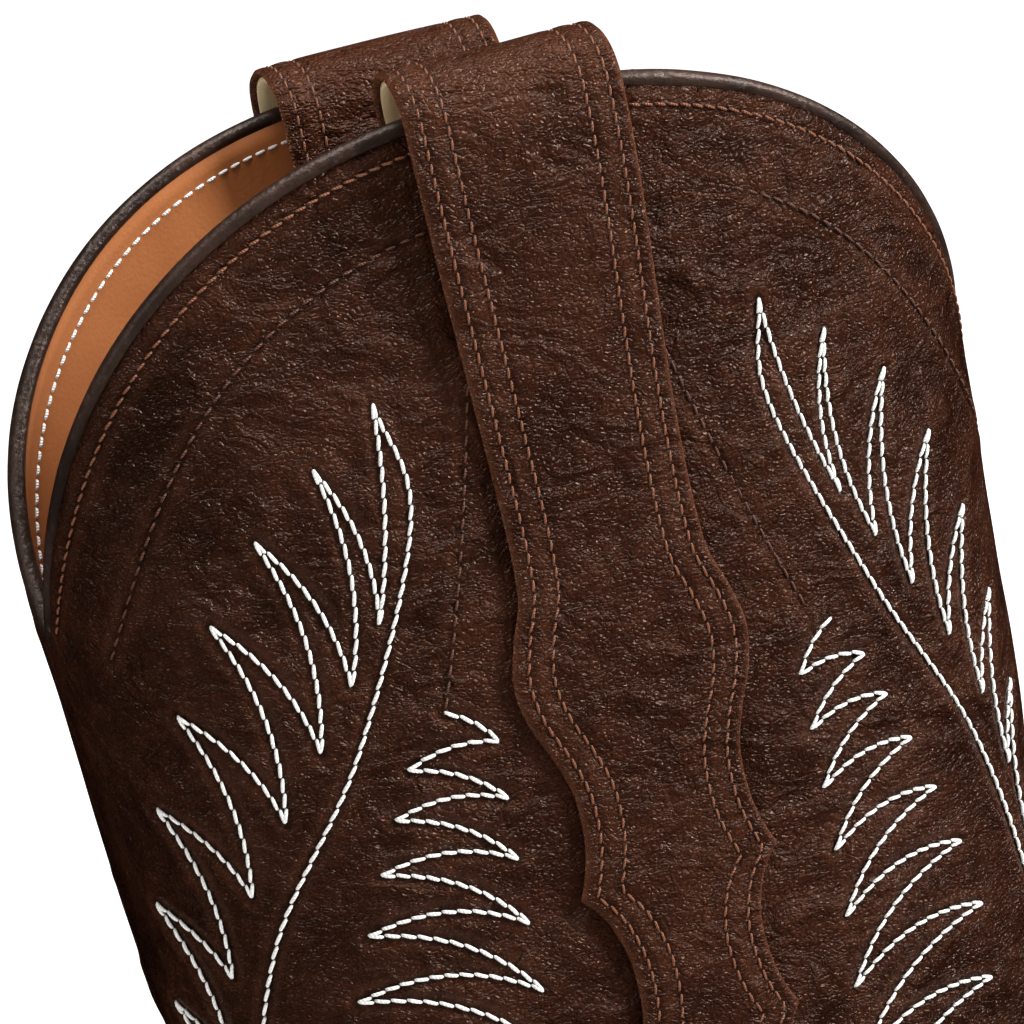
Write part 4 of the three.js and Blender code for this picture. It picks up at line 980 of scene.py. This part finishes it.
def stitches(name, runs, radius, length, gap, lift, slant=0.0, around=6, along=6):
    """One bead per stitch between even stops on each run, fat in the middle, arched over the leather by lift."""
    starts, ends, normals = [], [], []
    for points, normal in runs:
        run = travelled(points)
        count = max(1, int(round(run[-1] / length)))
        stops = np.linspace(0, run[-1], count + 1)
        trim = gap * stops[1] / length / 2
        middle = (stops[:-1] + stops[1:]) / 2
        for found, values, place in (
            (starts, points, stops[:-1] + trim),
            (ends, points, stops[1:] - trim),
            (normals, normal, middle),
        ):
            found.append(np.stack([np.interp(place, run, values[:, k]) for k in range(3)], 1))
    start, end, normal = np.concatenate(starts), np.concatenate(ends), np.concatenate(normals)
    tangent = end - start
    tangent /= np.linalg.norm(tangent, axis=1, keepdims=True)
    normal -= np.einsum("ij,ij->i", normal, tangent)[:, None] * tangent
    normal /= np.linalg.norm(normal, axis=1, keepdims=True)
    across = np.cross(tangent, normal)
    s = (1 - np.cos(np.linspace(0, np.pi, along))) / 2
    fat = np.sqrt(np.clip(1 - np.abs(2 * s - 1) ** 6, 0.12, 1))
    arch = lift * (1 - (2 * s - 1) ** 2) - 0.16 * np.abs(2 * s - 1) ** 6
    turn = np.linspace(0, 2 * np.pi, around, endpoint=False)
    centre = start[:, None, :] * (1 - s)[None, :, None] + end[:, None, :] * s[None, :, None]
    centre = centre + normal[:, None, :] * arch[None, :, None]
    centre = centre + across[:, None, :] * (slant * (s - 0.5))[None, :, None]
    ring = (
        centre[:, :, None, :]
        + (radius * fat)[None, :, None, None] * np.cos(turn)[None, None, :, None] * across[:, None, None, :]
        + (radius * fat)[None, :, None, None] * np.sin(turn)[None, None, :, None] * normal[:, None, None, :]
    )
    count = len(start)
    index = np.arange(along * around).reshape(along, around)
    index = np.concatenate([index, index[:, :1]], 1)
    quads = np.stack([index[:-1, :-1], index[1:, :-1], index[1:, 1:], index[:-1, 1:]], -1).reshape(-1, 4)
    triangles = [quads[:, [0, 1, 2]], quads[:, [0, 2, 3]]]
    fan = np.arange(1, around - 1)
    triangles.append(np.stack([0 * fan, fan, fan + 1], 1))
    last = (along - 1) * around
    triangles.append(np.stack([0 * fan + last, fan + 1 + last, fan + last], 1))
    one = np.concatenate(triangles)
    points = ring.reshape(-1, 3)
    a, b, c = (points[one[:, k]] - centre[0, along // 2] for k in range(3))
    if np.einsum("ij,ij->i", a, np.cross(b, c)).sum() < 0:
        one = one[:, ::-1]
    faces = (one[None, :, :] + (np.arange(count) * along * around)[:, None, None]).reshape(-1, 3)
    lay = np.broadcast_to(s[None, :, None], (count, along, around)).ravel()
    twist = np.broadcast_to((turn / (2 * np.pi))[None, None, :], (count, along, around)).ravel()
    return piece(name, points, faces, {"lay": lay, "twist": twist})


def thread_finish(name, dark, light, roughness):
    """Bonded thread: slanted plies along each stitch, with painted shade where it dips into the leather."""
    finish = Finish(name, Specular_IOR_Level=0.4)
    lay, twist = finish.field("lay"), finish.field("twist")
    ply = finish.maths("SINE", (lay * 4.0 + twist) * 6.2832, 0.0)
    dip = finish.band(finish.maths("ABSOLUTE", lay - 0.5, 0.0), 0.42, 0.52)
    colour = finish.blend(ply * 0.2 + 0.5, dark, light)
    # Painted shade: darker thread at both ends, where it goes down into the stitch holes.
    colour = finish.blend(dip * 0.65, colour, tuple(0.4 * c for c in dark))
    gloss = roughness + (finish.noise(1500.0) - 0.5) * 0.2
    finish.feed(Base_Color=colour, Roughness=gloss, Normal=finish.bump(ply, 0.00006, 0.8))
    return finish


white_thread = thread_finish("white_thread", (0.66, 0.64, 0.6), (0.93, 0.92, 0.88), 0.42)
white_runs = []
for side, stretches in WHITE_ROWS:
    for flat in stretches:
        points, normal = on_shaft(flat[:, 0], flat[:, 1], side, np.full(len(flat), 0.02))
        white_runs.append((points, normal))
made = stitches("feather_stitching", white_runs, THREAD_RADIUS, STITCH, STITCH_GAP, 0.16, 0.34)
fitted(made, white_thread, "strap_backing")

# The lining's own row of white lockstitches, 3.6 mm under the top line on the inside.
lining_runs = []
for side in (-1, 1):
    for facing in (1, -1):
        flat = evenly(beside_top_line(3.6, facing * 2.0, facing * 103.0, side), 1.0)
        points, normal = on_shaft(flat[:, 0], flat[:, 1], side, np.full(len(flat), LINING_FACE - 0.05))
        lining_runs.append((points, -normal))
made = stitches("lining_stitching", lining_runs, 0.3, 2.5, 0.5, 0.12)
fitted(made, white_thread, "strap_backing")

# ---------------------------------------------------------------- brown thread
# Rust and dark brown thread: the row that holds the binding, the row of the collar and the rows of the straps.
rust_thread = thread_finish("rust_thread", (0.1, 0.032, 0.014), (0.27, 0.093, 0.039), 0.45)
umber_thread = thread_finish("umber_thread", (0.05, 0.017, 0.009), (0.15, 0.05, 0.023), 0.5)
rust_runs, umber_runs = [], []
for number, (side, flat) in enumerate(PLAIN_ROWS):
    points, normal = on_shaft(flat[:, 0], flat[:, 1], side, np.full(len(flat), 0.02))
    (rust_runs if number % 3 == 0 else umber_runs).append((points, normal))
for name, side in (("outer", -1), ("inner", 1)):
    path = strap_path(1.0, side)
    path = path[(path[:, 2] < 205) | (path[:, 0] > SHAFT_HEIGHT)]
    half = strap_half(path[:, 2], side)[:, None]
    for inset in STRAP_ROWS_IN:
        for edge_side in (-1, 1):
            width = np.maximum(half - inset, 0.3)
            share = np.full((len(path), 1), edge_side)
            points = strap_surface(path, share, side, np.full((len(path), 1), 0.55), width)[:, 0]
            lower = strap_surface(path, share, side, np.full((len(path), 1), 0.0), width)[:, 0]
            normal = points - lower
            good = width[:, 0] > 1.0
            rust_runs.append((points[good], normal[good]))
made = stitches("rust_stitching", rust_runs, 0.24, 2.3, 0.35, 0.08, 0.3)
fitted(made, rust_thread, "strap_leather")
made = stitches("umber_stitching", umber_runs, 0.22, 2.7, 0.8, 0.06, 0.2)
fitted(made, umber_thread, "binding_leather")

# ---------------------------------------------------------------- vamp
# The foot's front: one piece of the same cowhide pulled over the last, from the toe up to a rounded tongue on the
# shaft. It is lasted under the insole and sewn to the shaft by two rows round its edge, with a toe row on top.
VAMP_TOP = [(-72.5, 40), (-74, 62), (-79, 80), (-92, 88), (-110, 91), (-126, 97)]
VAMP_TOP += [(-136, 108), (-141.5, 121), (-146, 132), (-153, 138), (-166, 141), (-330, 141)]


def seat_angle(u):
    """The angle at which a section meets the top of the welt, by halving."""

    def past(middle):
        at = last_point(u, middle)
        return ~(at[..., 2] > seat_z(at[..., 0]) + 0.3)

    return halved(np.full(u.shape, 0.35 * np.pi), np.full(u.shape, np.pi), past)[0]


seat_u = np.linspace(0.0, 14.0, 281)
seat_angles = seat_angle(seat_u)


def foot_columns(share, u):
    """An angle for each share of the way round from the top to the welt."""
    return share[:, None] * np.interp(u, seat_u, seat_angles)


def foot_grid(top_line, columns, rows):
    """Columns from the toe's tip to a line of the side view, at even shares of the way down to the welt."""
    outline = np.concatenate([top_line, [(-340, top_line[-1][1]), (-340, -60), (top_line[0][0], -60)]])
    share = np.linspace(-1, 1, columns)
    share = np.sign(share) * np.abs(share) ** 0.9
    end = stretch_inside(lambda u: foot_columns(share, u), 0.4, 14.0, columns, outline)[1]
    u = end[None, :] * np.linspace(0.0, 1.0, rows)[:, None] ** 1.15
    angle = share[None, :] * np.interp(u, seat_u, seat_angles)
    return angle, last_point(u, angle), last_normal(u, angle)


angle, surface, normal = foot_grid(side_curve(VAMP_TOP), 225, 205)
to_edge = nearness(surface, surface[-1], 12.0)
crease_x = surface[..., 0] + 0.22 * np.abs(surface[..., 1])
TREAD_CREASES = ((-181, 0.7), (-190, 0.9), (-199, 0.6), (-172, 0.5))  # place and depth of each crease at the ball
creases = sum(deep * hump(crease_x, 2.2, at) for at, deep in TREAD_CREASES) * np.exp(-((angle / 1.25) ** 4))
rows_in = hump(to_edge, 0.5, 2.2) + hump(to_edge, 0.5, 4.8)
pared = pared_to(to_edge, 1.1)
ripple = 0.25 * undulation(surface, 21, shortest=10.0, longest=45.0) - creases - 0.25 * rows_in
depth = GAP + FOOT_LEATHER * (0.1 + 0.9 * pared) + ripple * pared
TOE_ROWS = (
    [(-288, 0), (-276, 10), (-262, 18), (-247, 19), (-237, 11), (-231, 0)],
    [(-283, 0), (-273, 7), (-262, 12.5), (-250, 13.5), (-242, 8), (-237, 0)],
)


def on_top(flat, offset):
    """Points of the foot's upper side over a plan, by halving along each section's angle, with their normals."""
    x, y = flat[:, 0], flat[:, 1]
    one, angle = np.ones(len(x)), np.zeros(len(x))
    for _ in range(8):
        u = halved(0.05 * one, 9.5 * one, lambda v: ~(last_point(v, angle)[:, 0] < x), 22)[0]
        low, high = halved(-1.5 * one, 1.5 * one, lambda a: ~(last_point(u, a)[:, 1] > y), 22)
        angle = (low + high) / 2
    normal = last_normal(u, angle)
    return last_point(u, angle) + normal * offset, normal


toe_runs = []
for shape in TOE_ROWS:
    half = rounded(shape, 1.0)
    for side in (-1, 1):
        flat = np.stack([half[:, 0], side * half[:, 1] + 1.5], 1)
        toe_runs.append(on_top(flat, GAP + FOOT_LEATHER + 0.05))
toe_marks = np.concatenate([points for points, _ in toe_runs])
near_toe = nearness(surface + normal * (GAP + FOOT_LEATHER), toe_marks, 4.0)
depth = depth - 0.35 * hump(near_toe, 0.8) + 0.2 * hump(near_toe, 1.4, 2.4)
foot_leather = brown_leather(
    "foot_leather",
    (0.0125, 0.0034, 0.0015),
    (0.035, 0.0095, 0.004),
    (0.13, 0.04, 0.016),
    (0.085, 0.028, 0.0125),
    warmth=0.02,
)
worn = 0.6 * hump(to_edge, 0.7) + 0.25 * np.clip(creases, 0, 1)
# The sunk field marks the stitch grooves, where the finish paints shade.
sunk = np.clip(rows_in + hump(near_toe, 0.6), 0, 1) * 0.8
made = shell("foot_vamp", surface + normal * depth[..., None], surface + normal * GAP, {"worn": worn, "sunk": sunk})
fitted(made, foot_leather, "foot_leather", "vamp")
made = stitches("toe_stitching", toe_runs, 0.36, 2.5, 0.0, 0.16, 0.3)
fitted(made, white_thread, "strap_backing")


def inset_line(surface, normal, inset, offset):
    """A row inside a grid's last row: the point of each column that lies a distance back along it."""
    column, square = surface[::-1], normal[::-1]
    steps = np.linalg.norm(np.diff(column, axis=0), axis=2)
    run = np.concatenate([np.zeros((1, column.shape[1])), np.cumsum(steps, 0)])
    index = np.clip((run < inset).sum(0), 1, len(run) - 1)
    j = np.arange(column.shape[1])
    t = ((inset - run[index - 1, j]) / np.maximum(1e-6, run[index, j] - run[index - 1, j]))[:, None]
    points = column[index - 1, j] * (1 - t) + column[index, j] * t
    return points + square[index, j] * offset, square[index, j]


def edge_stitching(name, surface, normal, trim):
    """Two rows of rust thread along a grid's last row, which stop a few columns short of its sides."""
    runs = [inset_line(surface, normal, inset, GAP + FOOT_LEATHER - 0.15) for inset in (2.4, 5.2)]
    runs = [(points[trim:-trim], out[trim:-trim]) for points, out in runs]
    fitted(stitches(name, runs, 0.24, 2.3, 0.35, 0.08, 0.3), rust_thread, "foot_leather")


edge_stitching("vamp_stitching", surface, normal, 6)

# ---------------------------------------------------------------- counter
# The heel's cover, of the same leather over a moulded stiffener. Its edge sweeps up to a point at the back of the
# shaft and it meets the vamp in front of the heel.
COUNTER_TOP = [(-72.0, 40), (-73.4, 60), (-77.5, 78), (-66, 86.5), (-50, 88), (-37, 95)]
COUNTER_TOP += [(-28, 108), (-18, 120), (-6, 128), (30, 133)]
HEEL_SPREAD = 1.46  # how far round from the back the heel's pieces reach, in radians


def heel_grid(top_line, columns, rows):
    """Columns of one angle each round the back of the heel, from the welt up to a line of the side view."""
    x = np.linspace(top_line[0][0], 40, 60)
    floor_line = np.stack([x, seat_z(x) + 0.35], 1)
    high = top_line[top_line[:, 1] > floor_line[0, 1]]
    outline = np.concatenate([high, floor_line[::-1]])
    angle = np.pi + HEEL_SPREAD * np.linspace(-1, 1, columns)
    low, far = stretch_inside(lambda u: angle[:, None] + 0 * u, 7.0, LAST_U - 1.0, columns, outline)
    u = low[None, :] + (far - low)[None, :] * np.linspace(0, 1, rows)[:, None]
    angle = angle[None, :] + 0 * u
    return angle, last_point(u, angle), last_normal(u, angle)


angle, surface, normal = heel_grid(side_curve(COUNTER_TOP), 201, 120)
to_edge = nearness(surface, np.concatenate([surface[-1], surface[:, 0], surface[:, -1]]), 12.0)
pared = pared_to(to_edge, 1.1)
rows_in = hump(to_edge, 0.5, 2.2) + hump(to_edge, 0.5, 4.8)
depth = GAP + FOOT_LEATHER * (0.1 + 0.9 * pared) - 0.25 * rows_in * pared
depth += 0.2 * undulation(surface, 27, shortest=12.0, longest=45.0) * pared
# The sunk field marks the stitch grooves, where the finish paints shade.
fields = {"worn": 0.6 * hump(to_edge, 0.7), "sunk": np.clip(rows_in, 0, 1) * 0.8}
made = shell("foot_counter", surface + normal * depth[..., None], surface + normal * GAP, fields)
fitted(made, foot_leather, "foot_leather", "counter_cover")
edge_stitching("counter_stitching", surface, normal, 8)

# ---------------------------------------------------------------- foot lining
# Tan kid under the vamp and round the heel, with the shaft's lining tucked behind its edge.
LINING_TOP = [(-71.6, 40), (-72, 60), (-80, 69), (-112, 77), (-142, 95), (-168, 109), (-230, 115), (-330, 127)]
HEEL_LINING_TOP = [(-70.6, 40), (-70.8, 66), (-60, 74), (-40, 79), (-12, 93), (40, 101)]
for name, node, grid in (
    ("lining_foot", "vamp_lining", foot_grid(side_curve(LINING_TOP), 121, 110)),
    ("lining_heel", "heel_lining", heel_grid(side_curve(HEEL_LINING_TOP), 101, 60)),
):
    _, surface, normal = grid
    made = shell(name, surface + normal * (LINING_FACE + LINING), surface + normal * LINING_FACE)
    fitted(made, tan_leather, "lining_leather", node)

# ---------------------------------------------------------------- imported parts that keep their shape
# The bottom's leather, wood, brass and steel parts are cut to their final shape already. Each gets its own finish.


def grained(name, dark, light, scale, roughness, bump=0.0002, **constants):
    """Two tones in clouds and a fine grain of the same scale in the bump and the gloss."""
    finish = Finish(name, **constants)
    cloud, fine = finish.noise(scale, 5.0), finish.noise(scale * 14, 4.0)
    finish.feed(
        Base_Color=finish.blend(finish.band(cloud * 0.7 + fine * 0.3, 0.32, 0.68), dark, light),
        Roughness=roughness + (fine - 0.5) * 0.25,
        Normal=finish.bump(fine, bump, 0.7),
    )
    return finish


def stacked(name, dark, light, edge):
    """Burnished edge of layered leather: fine level fibres, stretched along each layer."""
    finish = Finish(name, Specular_IOR_Level=0.5)
    level = finish.node("ShaderNodeMapping", {}, {"Vector": finish.place, "Scale": (0.12, 0.12, 1.0)})
    fibre, cloud = finish.noise(1400.0, 4.0, 0.6, 0.0, level), finish.noise(70.0, 4.0)
    colour = finish.blend(finish.band(fibre * 0.6 + cloud * 0.4, 0.36, 0.64), dark, light)
    colour = finish.blend(finish.band(finish.noise(400.0), 0.62, 0.72) * 0.5, colour, edge)
    finish.feed(Base_Color=colour, Roughness=0.34 + (fibre - 0.5) * 0.3, Normal=finish.bump(fibre, 0.00015, 0.6))
    return finish


sole_edge = stacked("sole_leather", (0.035, 0.014, 0.008), (0.075, 0.031, 0.016), (0.15, 0.07, 0.035))
heel_edge = stacked("heel_leather", (0.024, 0.0105, 0.0065), (0.06, 0.025, 0.0135), (0.12, 0.055, 0.028))
finishes = {
    "sole_leather": (sole_edge, ["outsole", "welt", "heel_rand"]),
    "heel_leather": (heel_edge, ["heel_lift_%d" % k for k in range(1, 6)]),
    "cap_rubber": (grained("cap_rubber", (0.012, 0.012, 0.012), (0.03, 0.029, 0.028), 90.0, 0.7), ["heel_cap"]),
    "shaft_leather": (shaft_leather, ["side_seam_welt_outer", "side_seam_welt_inner"]),
    "foot_leather": (foot_leather, ["spur_ridge"]),
    "leatherboard": (
        grained("leatherboard", (0.2, 0.105, 0.052), (0.32, 0.18, 0.095), 60.0, 0.8),
        ["insole", "heel_filler", "counter_stiffener"],
    ),
    "lining_leather": (
        grained("sock_leather", (0.34, 0.13, 0.045), (0.47, 0.2, 0.075), 45.0, 0.6),
        ["footbed"],
    ),
    "interlining": (
        grained("cotton_interlining", (0.16, 0.1, 0.06), (0.24, 0.16, 0.1), 300.0, 0.9),
        ["vamp_interlining", "toe_puff"],
    ),
    "cork": (grained("cork", (0.2, 0.1, 0.045), (0.42, 0.25, 0.12), 260.0, 0.9, 0.0005), ["cork_filler"]),
    "spring_steel": (
        grained("spring_steel", (0.32, 0.33, 0.35), (0.5, 0.51, 0.53), 120.0, 0.35, 0.00005, Metallic=1.0),
        ["shank"],
    ),
    "nail_brass": (
        grained("nail_brass", (0.55, 0.36, 0.14), (0.75, 0.52, 0.22), 400.0, 0.35, 0.00005, Metallic=1.0),
        ["heel_nail_%d" % k for k in range(1, 6)],
    ),
    "peg_wood": (
        grained("peg_wood", (0.35, 0.2, 0.09), (0.55, 0.36, 0.18), 500.0, 0.7),
        ["peg_%d" % k for k in range(1, 11)],
    ),
}
for finish, names in finishes.values():
    for node in names:
        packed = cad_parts[node].data
        packed.materials.clear()
        packed.materials.append(finish.material)

# ---------------------------------------------------------------- welt stitching
# Cream waxed thread in large lockstitches, laid along the top of the welt from one side of the waist round the toe
# to the other.
seat_line_u = np.concatenate([np.linspace(11.2, 0.4, 150), np.linspace(0.36, 0.0, 12)])
seat_line_angle = np.interp(seat_line_u, seat_u, seat_angles)
half_line, other_line = last_point(seat_line_u, seat_line_angle), last_point(seat_line_u, -seat_line_angle)
ring_line = evenly(np.concatenate([half_line, other_line[::-1][1:]]), 1.5)
ahead = np.gradient(ring_line, axis=0)
outward = np.stack([-ahead[:, 1], ahead[:, 0], 0 * ahead[:, 0]], 1)
outward /= np.linalg.norm(outward, axis=1, keepdims=True)
outward *= np.sign(np.einsum("ij,ij->i", outward, ring_line - ring_line.mean(0)))[:, None]
reach = 3.9 - 2.4 * smooth((ring_line[:, :1] + 175) / 90)
welt_line = ring_line + outward * reach
welt_line[:, 2] = seat_z(welt_line[:, 0]) + 0.12
lift_up = np.zeros_like(welt_line)
lift_up[:, 2] = 1.0
made = stitches("welt_stitching", [(welt_line, lift_up)], 0.42, 3.2, 0.5, 0.14, 0.3)
fitted(made, white_thread, "strap_backing")
